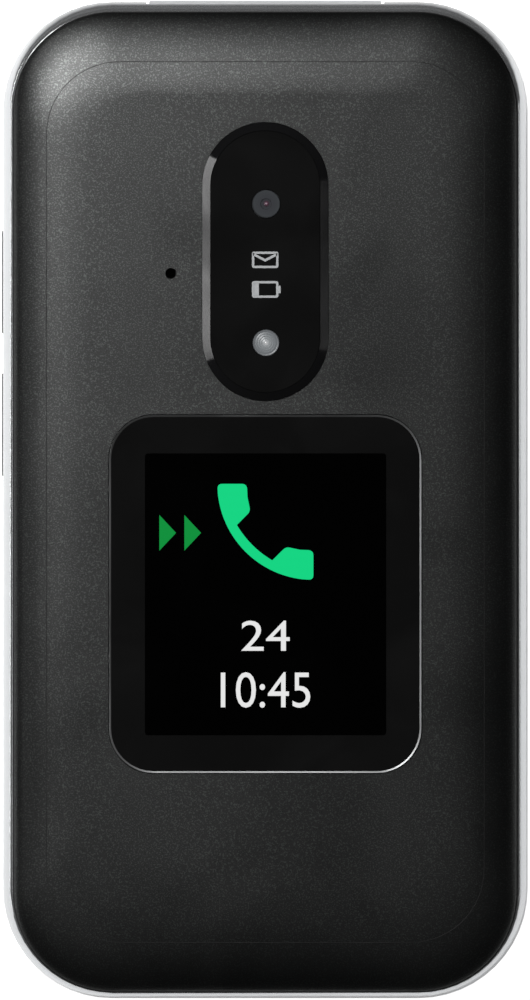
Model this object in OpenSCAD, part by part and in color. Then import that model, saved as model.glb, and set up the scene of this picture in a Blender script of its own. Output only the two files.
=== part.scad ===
// Flip phone, closed and lying on its back. X runs across it, +Y towards the hinge, +Z out of
// the lid's cover. The origin is in the middle of the back face. Millimetres.

/* [Body] */
// Width of the closed phone
body_w = 57.6; // [54:0.2:64]
// Length of the closed phone
body_l = 109.4; // [102:0.2:120]
// Radius of the corners in plan
corner_r = 12; // [11:0.25:13]
// Thickness of the frames' side walls
wall = 2.4; // [2.1:0.1:2.7]
// How far the dark covers lie inside the outline at the sides
rim_side = 1.26; // [1:0.02:1.5]
// How far the dark covers lie inside the outline at the hinge end
rim_top = 1.3; // [1:0.05:1.5]
// How far the dark covers lie inside the outline at the free end
rim_bottom = 0.84; // [0.6:0.02:1.4]
// Rise of the rounded edge of each dark cover
cap_h = 2.6; // [2.3:0.1:2.8]
// Reach of the cover's rounded edge at the sides
edge_side = 3.56; // [3:0.02:4]
// Reach of the cover's rounded edge at the ends
edge_end = 5.4; // [4.6:0.1:6]
// Corner radius of the flat inside the rounded edge
crease_r = 8; // [6:0.5:9]

/* [Base] */
// Height of the base's rim above the back
base_h = 10.4; // [9.8:0.1:12]
// Depth of the keypad deck below the rim
deck_drop = 0.4; // [0.3:0.05:0.6]
// Thickness of the keypad deck
deck_t = 1.2; // [1:0.05:1.3]
// Width of the rim round the keypad deck
rim_w = 1.5; // [1.2:0.1:1.8]
// Wall of the covers on the back
back_wall = 1.1; // [0.9:0.05:1.2]
// Gap between the battery cover and the fixed cap
split_gap = 0.3; // [0.2:0.05:0.4]

/* [Lid] */
// Thickness of the lid
lid_h = 8.6; // [8:0.1:9.6]
// Gap between base and lid
lid_gap = 0.3; // [0.25:0.05:0.5]
// Height of the straight part of the lid's side
lid_side_h = 2.1; // [1.6:0.1:2.6]
// Thickness of the lid's face plate
plate_t = 1.2; // [1.1:0.05:1.3]
// Wall of the lid's cover
cover_wall = 1.2; // [1:0.05:1.3]
// Rise of the cover's crown inside its rounded edge
crown = 0.35; // [0.2:0.05:0.5]
// Width of the flat in the middle of the crown
plateau_w = 36; // [35:0.5:42]

/* [Hinge] */
// Radius of the lid's knuckles
ear_r = 6.3; // [6:0.05:6.8]
// How far the base's barrel stands proud of the knuckles
barrel_proud = 0.15; // [0.1:0.05:0.25]
// Half the length of the base's barrel
barrel_half = 12.75; // [12:0.25:14]
// Gap at each end of the barrel
knuckle_gap = 0.3; // [0.2:0.05:0.5]
// Height of the hinge axis above the lid's face
hinge_up = 0.8; // [0.7:0.05:1]
// Clearance between the barrel and the lid above it
swing_gap = 0.3; // [0.25:0.05:0.4]
// Clearance between the base and the lid's knuckles
cradle_gap = 0.6; // [0.5:0.05:0.7]
// Opening angle of the lid in degrees
lid_open = 155; // [140:1:158]
// Radius of the hinge cartridge
cartridge_r = 3; // [2.7:0.05:3.3]
// Length of the hinge cartridge
cartridge_l = 13.8; // [13:0.1:14.6]
// Radius of the hinge shaft
shaft_r = 1.2; // [1:0.05:1.3]
// Radius of the hollow pivot bush
bush_r = 2.5; // [2.3:0.05:2.7]
// Running clearance of shaft and bush
running_gap = 0.05; // [0.02:0.01:0.08]

/* [Camera island] */
// Width of the camera island
island_w = 13.8; // [13:0.1:15]
// Length of the camera island
island_l = 30.5; // [28:0.5:32]
// Distance from the hinge end to the middle of the camera island
island_inset = 28.6; // [27:0.1:30]
// Height of the camera island above the cover
island_h = 0.8; // [0.6:0.05:1]
// Width of the island's chamfer
island_chamfer = 0.87; // [0.6:0.01:1]
// Distance from the island's middle to the camera lens
lens_up = 6.3; // [5.8:0.1:6.8]
// Distance from the island's middle to the flash lens
flash_down = 8.9; // [8.2:0.1:9.4]
// Radius of the camera's cover lens
lens_r = 1.55; // [1.4:0.05:1.7]
// Radius of the flash lens
flash_r = 1.47; // [1.3:0.01:1.6]
// Radius of the microphone's hole in the cover
mic_hole_r = 0.62; // [0.4:0.02:0.8]

/* [Outer display] */
// Width of the outer window
window_w = 34.2; // [31:0.2:37]
// Length of the outer window
window_l = 39.2; // [36:0.2:42]
// Corner radius of the outer window
window_r = 4.9; // [4:0.1:6]
// Distance between the camera island and the outer window
window_space = 1.55; // [1.2:0.05:2]
// Thickness of the outer window
window_t = 0.92; // [0.8:0.02:1]
// Width of the outer display module
outer_display_w = 28.5; // [26:0.1:31]
// Length of the outer display module
outer_display_l = 34; // [31:0.1:37]

/* [Main display] */
// Distance from the lid's side wall to the main display module
display_side = 1.4; // [1.2:0.05:2]
// Distance from the lid's end wall to the main display module
display_end = 10.7; // [9.8:0.1:11.5]
// Thickness of the main display module
display_t = 2.2; // [2:0.05:2.4]
// Distance from the outline to the main display's window at the sides
main_window_side = 4.5; // [4.2:0.1:5]
// How far the main display's window reaches past the module at each end
main_window_end = 3.4; // [3:0.1:3.7]
// Thickness of the main display's window
main_window_t = 0.75; // [0.7:0.05:0.8]

/* [Keys] */
// Distance from the outline to the keys at the sides
key_side = 4.1; // [3.8:0.1:5]
// Gap between columns of number keys
key_column_gap = 1.6; // [1.4:0.1:2.4]
// Gap between rows of number keys
key_row_gap = 2.8; // [2:0.1:3.4]
// Distance from the end wall to the last row of keys
keypad_end = 13.2; // [12.6:0.1:15]
// Corner radius of the keys
key_r = 2.4; // [1.5:0.1:3]
// Travel of a key
key_travel = 0.35; // [0.3:0.01:0.38]
// Clearance round a key in its hole
key_gap = 0.25; // [0.2:0.01:0.3]
// How far a key stands above the deck
key_proud = 0.35; // [0.3:0.01:0.4]
// Width of the retaining flange round a key
key_flange = 0.5; // [0.4:0.01:0.55]
// Thickness of the retaining flange
flange_t = 0.5; // [0.4:0.01:0.55]
// Length of the soft keys
soft_l = 7.5; // [6.5:0.1:8.2]
// Gap between the soft keys and the screw bosses
soft_screw_gap = 1.35; // [1:0.05:1.6]
// Length of the call and end keys
call_l = 9.5; // [8.5:0.1:10]
// Gap between the soft keys and the call and end keys
function_gap = 2; // [1.6:0.1:2.4]
// Distance from the soft keys' middle down to the navigation ring's middle
nav_drop = 6.5; // [6:0.1:7]
// Outer radius of the navigation ring
nav_r = 9.3; // [8.6:0.1:10]
// Gap between the navigation ring and the keys beside it
nav_side_gap = 4.4; // [4:0.1:5]
// Gap between the navigation ring's flange and the first row of keys
nav_row_gap = 2.4; // [2:0.1:3]
// Radius of the key inside the navigation ring
ok_r = 4; // [3.6:0.1:4.2]

/* [Side keys] */
// Length of the side keys
volume_l = 11.3; // [10:0.1:12.4]
// Distance from the side keys to the seams above and below them
volume_margin = 1; // [0.9:0.05:1.1]
// Distance from the base's nose to the middle of the upper side key
volume_inset = 18.4; // [17:0.1:20]
// Gap between the side keys
volume_space = 4.4; // [4:0.1:5]
// How far the side keys stand proud of the outline
volume_proud = 0.2; // [0.1:0.05:0.3]

/* [Back] */
// Distance from the side wall to the battery
battery_side = 6.4; // [6:0.1:7]
// Radius of the assistance key
assist_r = 6; // [5.4:0.1:6.6]
// Distance from the assistance key's hole to the end of the flat back
assist_margin = 1.1; // [0.9:0.05:1.5]
// Width of the loudspeaker
speaker_w = 20; // [18:0.5:22]
// Length of the loudspeaker
speaker_l = 7.2; // [6.5:0.1:7.9]
// Width of the charging port's shell
port_w = 8.94; // [8.5:0.02:9.4]
// Height of the charging port's shell
port_h = 3.2; // [3:0.02:3.4]
// Width of the card holder
card_w = 9.4; // [9:0.1:10]
// Length of the card holder
card_l = 12.8; // [12.2:0.1:13.8]

/* [Fasteners] */
// Distance from the outline to the screws at the hinge end, sideways
screw_top_side = 4.6; // [4.4:0.1:5]
// Distance from the hinge wall to the screws at the hinge end
screw_top_inset = 3.2; // [3:0.1:3.5]
// Distance from the outline to the screws at the free end, sideways
screw_end_side = 8.3; // [7.8:0.1:8.8]
// Distance from the end wall to the screws at the free end
screw_end_inset = 3.8; // [3.7:0.1:4.2]
// Radius of a screw's shank
screw_r = 0.7; // [0.6:0.05:0.8]
// Radius of a screw's head
screw_head_r = 1.35; // [1.2:0.05:1.5]
// Length of a screw
screw_l = 5.2; // [4.8:0.1:5.6]

/* [Hidden] */
$fn = 64;
white = [0.86, 0.87, 0.88];
dark = [0.13, 0.14, 0.14];
black = [0.03, 0.03, 0.03];
steel = [0.7, 0.71, 0.73];
gold = [0.8, 0.65, 0.3];
board_green = [0.05, 0.28, 0.14];
amber = [0.75, 0.42, 0.08];
face_gap = 0.05;       // clearance between faces that seat on each other
fit_gap = 0.1;         // clearance round a piece in its seat
room_gap = 0.3;        // clearance round a piece in its room
over = 0.1;            // how far a cutter runs past the face it opens
corner_steps = 12;     // facets in a corner of a lofted shell
edge_steps = 6;        // rings in a lofted rounded edge

// Plans are [width, length, corner radius, middle in Y]
edge_corner_step = 1.15;
seam_step = 0.05;      // how far the frames stand out round the covers at their seam
outline = [body_w, body_l, corner_r, 0];
cap_l = body_l - rim_top - rim_bottom;
cap_y = (rim_bottom - rim_top) / 2;
cap_edge = [body_w - 2 * rim_side, cap_l, corner_r - edge_corner_step, cap_y];
cap_flat = [cap_edge[0] - 2 * edge_side, cap_l - 2 * edge_end, crease_r, cap_y];
frame_edge = grown(cap_edge, seam_step);

// Heights of the lid
lid_z = base_h + lid_gap;
lid_top = lid_z + lid_h;
lid_shoulder_z = lid_z + lid_side_h;
lid_seam_z = lid_top - cap_h;
crease_z = lid_top - crown;
plate_top = lid_z + plate_t;
lid_inner_z = lid_top - cover_wall;

// Hinge, in the side view
lip_angle = 33;        // where the lid's lip over the barrel ends, above the axis
nose_rest_angle = 18;  // how far the nose of the base stays behind the opened lid
sweep_gap = 0.4;
hinge_wall = 1.65;     // wall between the pockets and the hinge
hinge_z = lid_z + hinge_up;
hinge_y = body_l / 2 - ear_r;
barrel_r = ear_r + barrel_proud;
ear_x = barrel_half + knuckle_gap;
swing_r = barrel_r + swing_gap;
cradle_r = ear_r + cradle_gap;
nose_angle = lid_open - nose_rest_angle;
sweep_r = lid_top - hinge_z + sweep_gap;
nose_y = hinge_y + sweep_r * cos(nose_angle);
nose_z = hinge_z - sweep_r * sin(nose_angle);
roll_y = nose_y - nose_z;
cradle_edge_y = hinge_y + cradle_r * cos(nose_angle);
pocket_top_y = hinge_y - swing_r - hinge_wall;

// Heights of the base, from the deck down
mat_t = 0.4;
dome_h = 0.22;
dome_r = 1.9;
board_t = 0.8;
board_lift = 0.18;     // gap under the board, and from its top face down to the seam
floor_t = 0.5;         // floor between the battery and the board
deck_z = base_h - deck_drop;
deck_under = deck_z - deck_t;
flange_top = deck_under - face_gap;
flange_z = flange_top - flange_t;
key_h = deck_z + key_proud - flange_z;
mat_top = flange_z - key_travel - face_gap;
mat_z = mat_top - mat_t;
board_top = mat_z - face_gap - dome_h;
board_z = board_top - board_t;
base_seam_z = board_top - board_lift;
shell_floor_z = board_z - board_lift;

// The pockets of the two frames
pocket_top_r = 2;
board_gap = 0.4;       // clearance between a board and the pocket wall
pocket_w = body_w - 2 * wall;
pocket_bottom_y = wall - body_l / 2;
pocket_r = corner_r - wall;

// Places of the two screws at the hinge end and the two at the free end
screw_head_h = 0.8;
boss_r = 2.2;
screw_lift = 0.15;     // how deep a head lies in its hole
thread_r = screw_r + face_gap;
screw_hole_r = screw_r + room_gap + fit_gap;
head_hole_r = screw_head_r + room_gap + 1.5 * fit_gap;
screw_top = [body_w / 2 - screw_top_side, pocket_top_y - screw_top_inset];
screw_end = [body_w / 2 - screw_end_side, pocket_bottom_y + screw_end_inset];
screw_places = [for (side = [-1, 1], place = [screw_end, screw_top]) [side * place[0], place[1]]];

// Function keys: soft keys by the hinge, then call and end beside the navigation ring
key_out_x = body_w / 2 - key_side;
side_w = key_out_x - nav_r - nav_side_gap;
side_x = key_out_x - side_w / 2;
soft_y = screw_top[1] - boss_r - key_flange - soft_screw_gap - soft_l / 2;
call_y = soft_y - soft_l / 2 - function_gap - call_l / 2;
nav_y = soft_y - nav_drop;

// Navigation ring: a flange low enough to rock, on a pad that rocks the other way
nav_flange = 0.7;
nav_flange_t = 0.3;
nav_flange_gap = 0.45;
nav_gap = 0.3;
nav_proud = 0.2;
pad_step = 1.8;
pad_t = 0.3;
pad_play = 0.3;
nub_r = 0.7;
nub_inset = 1.2;
nub_space = 1;         // from the hole in the pad to the nubs on the board
nub_gap = 0.02;
nav_flange_r = nav_r + nav_flange;
nav_flange_top = deck_under - nav_flange_gap;
nav_flange_z = nav_flange_top - nav_flange_t;
ok_flange_r = ok_r + key_flange - face_gap;
pad_r = nav_r - pad_step;
pad_hole_r = ok_flange_r + room_gap + face_gap;
pad_top = nav_flange_z - face_gap;
pad_z = pad_top - pad_t;
nav_under_z = pad_top + pad_play;

// Number keys: four rows between the navigation ring and the end wall, in reading order
key_rows = 4;
keypad_top_y = nav_y - nav_flange_r - nav_row_gap;
keypad_bottom_y = pocket_bottom_y + keypad_end;
key_w = (2 * key_out_x - 2 * key_column_gap) / 3;
key_l = (keypad_top_y - keypad_bottom_y - (key_rows - 1) * key_row_gap) / key_rows;
key_places = [for (row = [0:key_rows - 1], column = [-1:1])
    [column * (key_w + key_column_gap), keypad_top_y - key_l / 2 - row * (key_l + key_row_gap)]];

// Places of the metal domes under all the keys
nav_dome_step = 2.3;
nav_dome_r = nav_r - nav_dome_step;
nav_domes = [for (a = [0:90:270]) [nav_dome_r * cos(a), nav_y + nav_dome_r * sin(a)]];
side_domes = [for (x = [-side_x, side_x], y = [soft_y, call_y]) [x, y]];
dome_places = concat(key_places, side_domes, nav_domes, [[0, nav_y]]);

// Camera parts
lens_x = 0.08;
island_flange_t = 0.4;
island_stem = 0.8;     // how far the stem in the cover lies inside the island's edge
island_stem_l = 0.5;   // how far the stem reaches below the cover's roof
camera_glass_t = 0.5;
camera_glass_gap = 0.07;
camera_size = 8.4;
camera_barrel_r = 2.6;
camera_shoulder = 0.8;
lens_sink = 0.05;
island_y = body_l / 2 - island_inset;
island_top = lid_top + island_h;
island_bottom = lid_inner_z - island_stem_l;
lens_place = [lens_x, island_y + lens_up];
flash_place = [lens_x, island_y - flash_down];
glass_top_inset = island_chamfer + camera_glass_gap;
camera_glass_w = island_w - 2 * glass_top_inset;
camera_glass_l = island_l - 2 * glass_top_inset;
camera_glass_z = island_top - camera_glass_t;
camera_shoulder_z = island_bottom - camera_shoulder;

// Microphone beside the island
mic_r = 2;
mic_inlet_r = 0.5;
mic_floor = 1;
mic_side = 3.43;       // from the island's edge to the microphone's middle
mic_drop = 1.3;        // from the island's middle down to the microphone's
mic_place = [-island_w / 2 - mic_side, island_y - mic_drop];

// Outer window: it seats on a ledge in the cover
window_proud = 0.12;
window_ledge = 1.7;
window_y = island_y - island_l / 2 - window_space - window_l / 2;
window_z = lid_top + window_proud - window_t;
plateau_r = 6;
plateau_top_inset = 3.5;
plateau_end_inset = 12.6;
plateau_top_y = cap_y + cap_flat[1] / 2 - plateau_top_inset;
plateau_end_y = cap_y - cap_flat[1] / 2 + plateau_end_inset;
plateau = [plateau_w, plateau_top_y - plateau_end_y, plateau_r, (plateau_top_y + plateau_end_y) / 2];

// Lid's inner parts, from the face plate up
display_top_gap = 0.6; // between the main display and the camera module
display_border = [2, 4];
display_r = 0.6;
main_window_r = 4;
outer_display_gap = 0.4;
outer_display_r = 0.5;
lid_layer_gap = 0.2;
main_window_z = lid_z + face_gap;
display_z = plate_top + fit_gap;
display_w = pocket_w - 2 * display_side;
display_y0 = pocket_bottom_y + display_end;
display_y1 = lens_place[1] - camera_size / 2 - display_top_gap;
display_l = display_y1 - display_y0;
display_y = (display_y0 + display_y1) / 2;
main_window_w = body_w - 2 * main_window_side;
main_window_l = display_l + 2 * main_window_end;
lid_board_z = display_z + display_t + lid_layer_gap;
lid_board_top = lid_board_z + board_t;
outer_display_z = lid_board_top + room_gap;
outer_display_t = lid_inner_z - outer_display_gap - outer_display_z;
earpiece_w = 15;
earpiece_l = 6;
earpiece_h = 2.4;
earpiece_r = 1.5;
earpiece_inset = 3.9;
earpiece_y = pocket_bottom_y + earpiece_inset;
ear_slot = [12, 1.6];

// Lid's screws and the bumpers under them
bumper_r = 2;
bumper_depth = 0.5;
lid_boss_h = 1.1;
lid_head_cover = 0.9;  // plastic above a screw's head
cover_boss_step = 0.3;
boss_end_gap = 0.5;    // how far a screw's end stays below the end of its hole
bumper_z = deck_z + fit_gap;
recess_top_y = screw_top[1] + bumper_r + 4 * fit_gap;
lid_boss_top = plate_top + lid_boss_h;
lid_head_top = lid_boss_top - lid_head_cover;

// Back: from the roll at the hinge end to the card holder at the free end
assist_recess = 0.25;
assist_flange = 0.9;
assist_flange_t = 0.5;
assist_stem_r = 1.5;
assist_gap = 0.4;
speaker_gap = 0.5;
speaker_t = 3.6;
speaker_r = 1.5;
slot_w = 1.1;
slot_pitch = 2.6;
slot_end = 1.3;
cover_split_gap = 2.4; // from the loudspeaker to the battery cover
bay_wall = 1.4;        // wall between the two bays
battery_inset = 1.5;
bay_r = 0.8;
upper_bay_r = 2;
upper_bay_side = 2.4;
upper_bay_end = 2;
assist_hole_r = assist_r + assist_gap;
assist_flange_r = assist_r + assist_flange;
assist_y = roll_y - assist_margin - assist_hole_r;
speaker_y = assist_y - assist_flange_r - speaker_gap - speaker_l / 2;
cover_split = speaker_y - speaker_l / 2 - cover_split_gap;
upper_bay_y0 = cover_split + bay_wall;
upper_bay_y1 = pocket_top_y - upper_bay_end;
upper_bay_w = pocket_w - 2 * upper_bay_side;

// Charging port and card holder
port_wall = 0.3;
port_l = 7.2;
port_sink = 0.4;
port_tongue = [6.7, 0.7];
port_back = 1;
port_tongue_inset = 0.6;
card_h = 1.65;
card_wall = 0.25;
card_floor = 0.22;
card_slot_h = 0.72;
card_side_gap = 0.8;
volume_h = base_seam_z - cap_h - 2 * volume_margin;
port_z = (base_seam_z + cap_h) / 2 - face_gap;
port_mouth_y = port_sink - body_l / 2;
port_end_y = port_mouth_y + port_l;
card_x0 = port_w / 2 + fit_gap + card_side_gap;
card_y0 = pocket_bottom_y + card_side_gap;

// Battery, in the bay between the card holder and the upper bay
battery_r = 0.7;
battery_w = pocket_w - 2 * battery_side;
battery_y0 = card_y0 + card_l + room_gap;
battery_y1 = cover_split - battery_inset;
battery_l = battery_y1 - battery_y0;
battery_y = (battery_y0 + battery_y1) / 2;
battery_z = back_wall + fit_gap;
bay_top = shell_floor_z - floor_t;
battery_t = bay_top - fit_gap - battery_z;
bay_w = battery_w + 2 * room_gap;
bay_l = battery_l + 2 * room_gap;
connector_w = 9.8;
connector_l = 3;
connector_lift = 0.4;

// Rails of the battery cover
rail_inset = 4.6;
rail_t = 0.8;
rail_h = 0.8;
rail_gap = 0.3;
rail_end_inset = 12;
rail_split_inset = 1;
rail_x = body_w / 2 - rail_inset;

// Hollows of the rear shell beside the battery
hollow_wall = 1.2;
hollow_side = 0.3;
hollow_lift = 1.6;
hollow_end = 10.5;     // from the end screws to the hollows
hollow_top = 1.35;     // how far the hollows reach past the upper side key
hollow_r = 1;
hollow_x0 = bay_w / 2 + hollow_wall;
hollow_x1 = pocket_w / 2 - hollow_side;

// Side keys, on the left, and their switches
volume_flange_t = 0.6;
volume_flange = 0.3;
volume_gap = 0.15;
volume_room = 0.6;     // room round a side key's flange
switch_size = [2, 3.2, 0.6];
plunger_size = [0.4, 1.6, 0.8];
assist_switch_w = 3.6;
assist_switch_h = 0.65;
assist_switch_gap = 0.4;
volume_z = port_z;
volume_up_y = nose_y - volume_inset;
volume_down_y = volume_up_y - volume_l - volume_space;
volume_out_x = -body_w / 2 - volume_proud;
volume_in_x = -body_w / 2 + wall + fit_gap;
switch_x = volume_in_x + volume_flange_t + key_travel + face_gap;

// Base microphone, on the board beside the port, and the vibration motor
base_mic_size = [3.5, 2.6];
base_mic_gap = 0.6;
base_mic_inset = 2.3;
base_mic_hole_r = 0.6;
base_mic_place = [-port_w / 2 - room_gap - base_mic_gap - base_mic_size[0] / 2,
    pocket_bottom_y + base_mic_inset];
motor_r = 4;
motor_h = 2.7;
motor_inset = 3.5;
motor_place = [motor_inset + motor_r - upper_bay_w / 2, assist_y];

// Hinge cartridge, on the left
cartridge_sink = 0.15;
cartridge_wall = 0.6;
end_cap_t = 0.8;
cam_gap = 0.2;
cam_t = 2;
shaft_end_gap = 0.6;
hex_r = 1.95;
hex_depth = 4.8;
hex_gap = 0.1;
spring_wire_r = 0.35;
spring_turns = 6;
spring_steps = 12;
spring_sides = 6;
cartridge_x0 = cartridge_sink - barrel_half;
cartridge_x1 = cartridge_x0 + cartridge_l;
cam_x0 = cartridge_x0 + end_cap_t + cam_gap;
spring_mean_r = (shaft_r + cartridge_r - cartridge_wall) / 2;

// Hollow side of the hinge, on the right, with a flex cable through it
flex_t = 0.3;
flex_r = 1.3;
flex_w = 4;
flex_slot_gap = 0.15;
flex_tail = 1.6;
flex_plug_l = 2.6;
flex_plug_lap = 0.2;
flex_plug_side = 0.5;
flex_drop = 0.75;
flex_join = 0.5;
chamber_r = 4;
chamber_l = 6;
chamber_wall = 1.3;
bush_wall = 0.7;
bush_in_ear = 3.2;
lid_flex_w = 2;
lid_flex_gap = 0.75;
lid_flex_up = 0.35;
lid_plug_h = 0.5;
chamber_x0 = cartridge_x1 + chamber_wall;
bush_x0 = chamber_x0 + chamber_l;
bush_x1 = ear_x + bush_in_ear;
bush_bore_r = bush_r - bush_wall;
flex_join_x = bush_x1 - flex_join;
flex_x0 = chamber_x0 + flex_plug_side + 1;
flex_x1 = flex_x0 + flex_w;
flex_z = deck_under - flex_drop;
lid_flex_x0 = bush_x1 + lid_flex_gap;
lid_flex_x1 = lid_flex_x0 + lid_flex_w;
lid_flex_z = hinge_z + lid_flex_up;

// ---- Shapes that repeat -----------------------------------------------------------------

// A plan made larger all round
function grown(plan, by) =
    [plan[0] + 2 * by, plan[1] + 2 * by, plan[2] + by, plan[3]];

// A plan part of the way from one to another
function between(a, b, share) = [for (i = [0:3]) b[i] + (a[i] - b[i]) * share];

// Points round a plan at one height, anticlockwise from above
function ring(plan, z) = [
    for (corner = [0:3], i = [0:corner_steps])
        let (a = 90 * (corner + i / corner_steps),
             side = corner == 0 || corner == 3 ? 1 : -1,
             end = corner < 2 ? 1 : -1)
        [side * (plan[0] / 2 - plan[2]) + plan[2] * cos(a),
         plan[3] + end * (plan[1] / 2 - plan[2]) + plan[2] * sin(a),
         z]
];

// Rings of a rounded edge: a quarter ellipse from one plan to another, lowest ring first
function edge_rings(from, to, z_from, z_to) =
    let (rise = z_to - z_from)
    [for (i = [0:edge_steps])
        let (a = 90 * (rise > 0 ? i : edge_steps - i) / edge_steps)
        ring(between(from, to, cos(a)), z_from + rise * sin(a))];

// A closed solid through rings that all have as many points
module loft(rings) {
    n = len(rings[0]);
    last = len(rings) - 1;
    polyhedron(
        points = [for (r = rings) each r],
        faces = concat(
            [[for (i = [0:n - 1]) i]],
            [for (k = [0:last - 1], i = [0:n - 1])
                let (j = (i + 1) % n)
                [k * n + i, (k + 1) * n + i, (k + 1) * n + j, k * n + j]],
            [[for (i = [n - 1:-1:0]) last * n + i]]
        )
    );
}

// A flat rounded rectangle
module rounded_rect(w, l, r) {
    square([w - 2 * r, l], center = true);
    square([w, l - 2 * r], center = true);
    for (x = [-1, 1], y = [-1, 1])
        translate([x * (w / 2 - r), y * (l / 2 - r)])
            circle(r = r);
}

// A rounded slab from z0 to z1
module slab(w, l, r, z0, z1, x = 0, y = 0) {
    translate([x, y, z0])
        linear_extrude(z1 - z0)
            rounded_rect(w, l, r);
}

// A plain block given by its two corners
module block(low, high) {
    translate(low)
        cube(high - low);
}

// An upright cylinder from z0 to z1
module post(place, r, z0, z1) {
    translate([place[0], place[1], z0])
        cylinder(r = r, h = z1 - z0);
}

// A flat bar with round ends, along X
module stadium(w, h) {
    square([w - h, h], center = true);
    for (end = [-1, 1])
        translate([end * (w - h) / 2, 0])
            circle(r = h / 2);
}

// A slab with round ends, running along Y
module pill(w, l, z0, z1, x = 0, y = 0) {
    translate([x, y, z0])
        linear_extrude(z1 - z0)
            rotate(90)
                stadium(l, w);
}

// A drawing in the side view (Y, Z), drawn out along X
module along_x(x0, x1) {
    translate([x0, 0, 0])
        rotate([90, 0, 90])
            linear_extrude(x1 - x0)
                children();
}

// A round bar or bore on the hinge axis
module hinge_rod(r, x0, x1) {
    translate([x0, hinge_y, hinge_z])
        rotate([0, 90, 0])
            cylinder(r = r, h = x1 - x0);
}

// ---- Shapes that several pieces share ---------------------------------------------------

// Everything behind the rolled-up hinge end of the base, moved inwards by inset
module behind_the_roll(inset = 0) {
    r = nose_z - inset;
    along_x(-body_w, body_w)
        difference() {
            translate([roll_y, -over])
                square([body_l, hinge_z]);
            translate([roll_y, nose_z])
                circle(r = r);
            polygon([
                [roll_y - over, nose_z],
                [roll_y + r, nose_z],
                [hinge_y - inset, hinge_z + over],
                [roll_y - over, hinge_z + over]
            ]);
        }
}

// Outer form of the covers on the back, or with an inset the hollow inside it
module back_form(inset = 0) {
    difference() {
        loft(edge_rings(grown(cap_edge, -inset), grown(cap_flat, -inset / 2),
            cap_h + (inset > 0 ? over : 0), inset));
        behind_the_roll(inset);
    }
}

// The shell of both covers on the back, between two places along the phone
module back_shell(y0, y1) {
    intersection() {
        difference() {
            back_form();
            back_form(back_wall);
        }
        block([-body_w, y0, -over], [body_w, y1, cap_h - face_gap]);
    }
}

// The pocket plan shared by both frames, from the free end to the hinge wall
module pocket(z0, z1, shrink = 0) {
    l = pocket_top_y - pocket_bottom_y - 2 * shrink;
    slab(pocket_w - 2 * shrink, l - pocket_r, pocket_r - shrink, z0, z1,
        y = (pocket_top_y + pocket_bottom_y - pocket_r) / 2);
    slab(pocket_w - 2 * shrink, l / 2, pocket_top_r - shrink, z0, z1,
        y = pocket_top_y - shrink - l / 4);
}

// The recess that the keys stand in: it follows the outline and ends before the hinge
module deck_recess() {
    intersection() {
        slab(body_w - 2 * rim_w, body_l - 2 * rim_w, corner_r - rim_w, deck_z, base_h + over);
        block([-body_w, -body_l, 0], [body_w, recess_top_y, base_h + 2 * over]);
    }
}

// A key: a cap in a hole of the deck, with a flange that keeps it in
module key(w, l, place) {
    slab(w, l, key_r, flange_z, flange_z + key_h, place[0], place[1]);
    slab(w + 2 * key_flange, l + 2 * key_flange, key_r + key_flange, flange_z, flange_top,
        place[0], place[1]);
}

module key_hole(w, l, place) {
    slab(w + 2 * key_gap, l + 2 * key_gap, key_r + key_gap, deck_under - over, base_h + over,
        place[0], place[1]);
}

// A screw with its head down at z and its shank pointing up
module screw(place, z) {
    post(place, screw_head_r, z, z + screw_head_h);
    post(place, screw_r, z + screw_head_h / 2, z + screw_l);
}

// The rounded section of the charging port, drawn along Y
module port_shape(grow, y0, y1) {
    translate([0, y1, port_z])
        rotate([90, 0, 0])
            linear_extrude(y1 - y0)
                stadium(port_w + 2 * grow, port_h + 2 * grow);
}

// A side key's body, drawn out along X
module volume_solid(y, grow, x0, x1) {
    along_x(x0, x1)
        translate([y, volume_z])
            stadium(volume_l + 2 * grow, volume_h + 2 * grow);
}

// ---- Base -------------------------------------------------------------------------------

module base_front_frame() {
    color(white)
        difference() {
            union() {
                difference() {
                    slab(body_w, body_l, corner_r, base_seam_z, base_h);
                    block([-body_w, cradle_edge_y, 0], [body_w, body_l, base_h + over]);
                    pocket(base_seam_z - over, deck_under);
                    deck_recess();
                    for (side = [-1, 1])
                        hinge_rod(cradle_r, min(side * barrel_half, side * body_w),
                            max(side * barrel_half, side * body_w));
                }
                hinge_rod(barrel_r, -barrel_half, barrel_half);
                block([-barrel_half, pocket_top_y + over, base_seam_z],
                    [barrel_half, hinge_y - barrel_r / 2, base_h]);
                for (place = screw_places)
                    post(place, boss_r, board_top + face_gap, deck_under + over);
            }
            for (place = key_places)
                key_hole(key_w, key_l, place);
            for (x = [-side_x, side_x]) {
                key_hole(side_w, soft_l, [x, soft_y]);
                key_hole(side_w, call_l, [x, call_y]);
            }
            post([0, nav_y], nav_r + nav_gap, deck_under - over, base_h + over);
            post(base_mic_place, base_mic_hole_r, deck_under - over, base_h + over);
            for (place = screw_places)
                post(place, thread_r, base_seam_z, deck_z - 4 * fit_gap);
            port_shape(fit_gap, -body_l, port_end_y + room_gap);
            // Seats of the hinge cartridge and the pivot bush, and the chamber between them
            hinge_rod(cartridge_r + face_gap, -barrel_half - over, cartridge_x1 + face_gap);
            hinge_rod(bush_r + face_gap / 2, bush_x0 - over, barrel_half + over);
            hinge_rod(chamber_r, chamber_x0, bush_x0);
            block([flex_x0 - fit_gap, pocket_top_y - over, flex_z - flex_slot_gap],
                [flex_x1 + fit_gap, hinge_y, flex_z + flex_t + flex_slot_gap]);
        }
}

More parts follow.
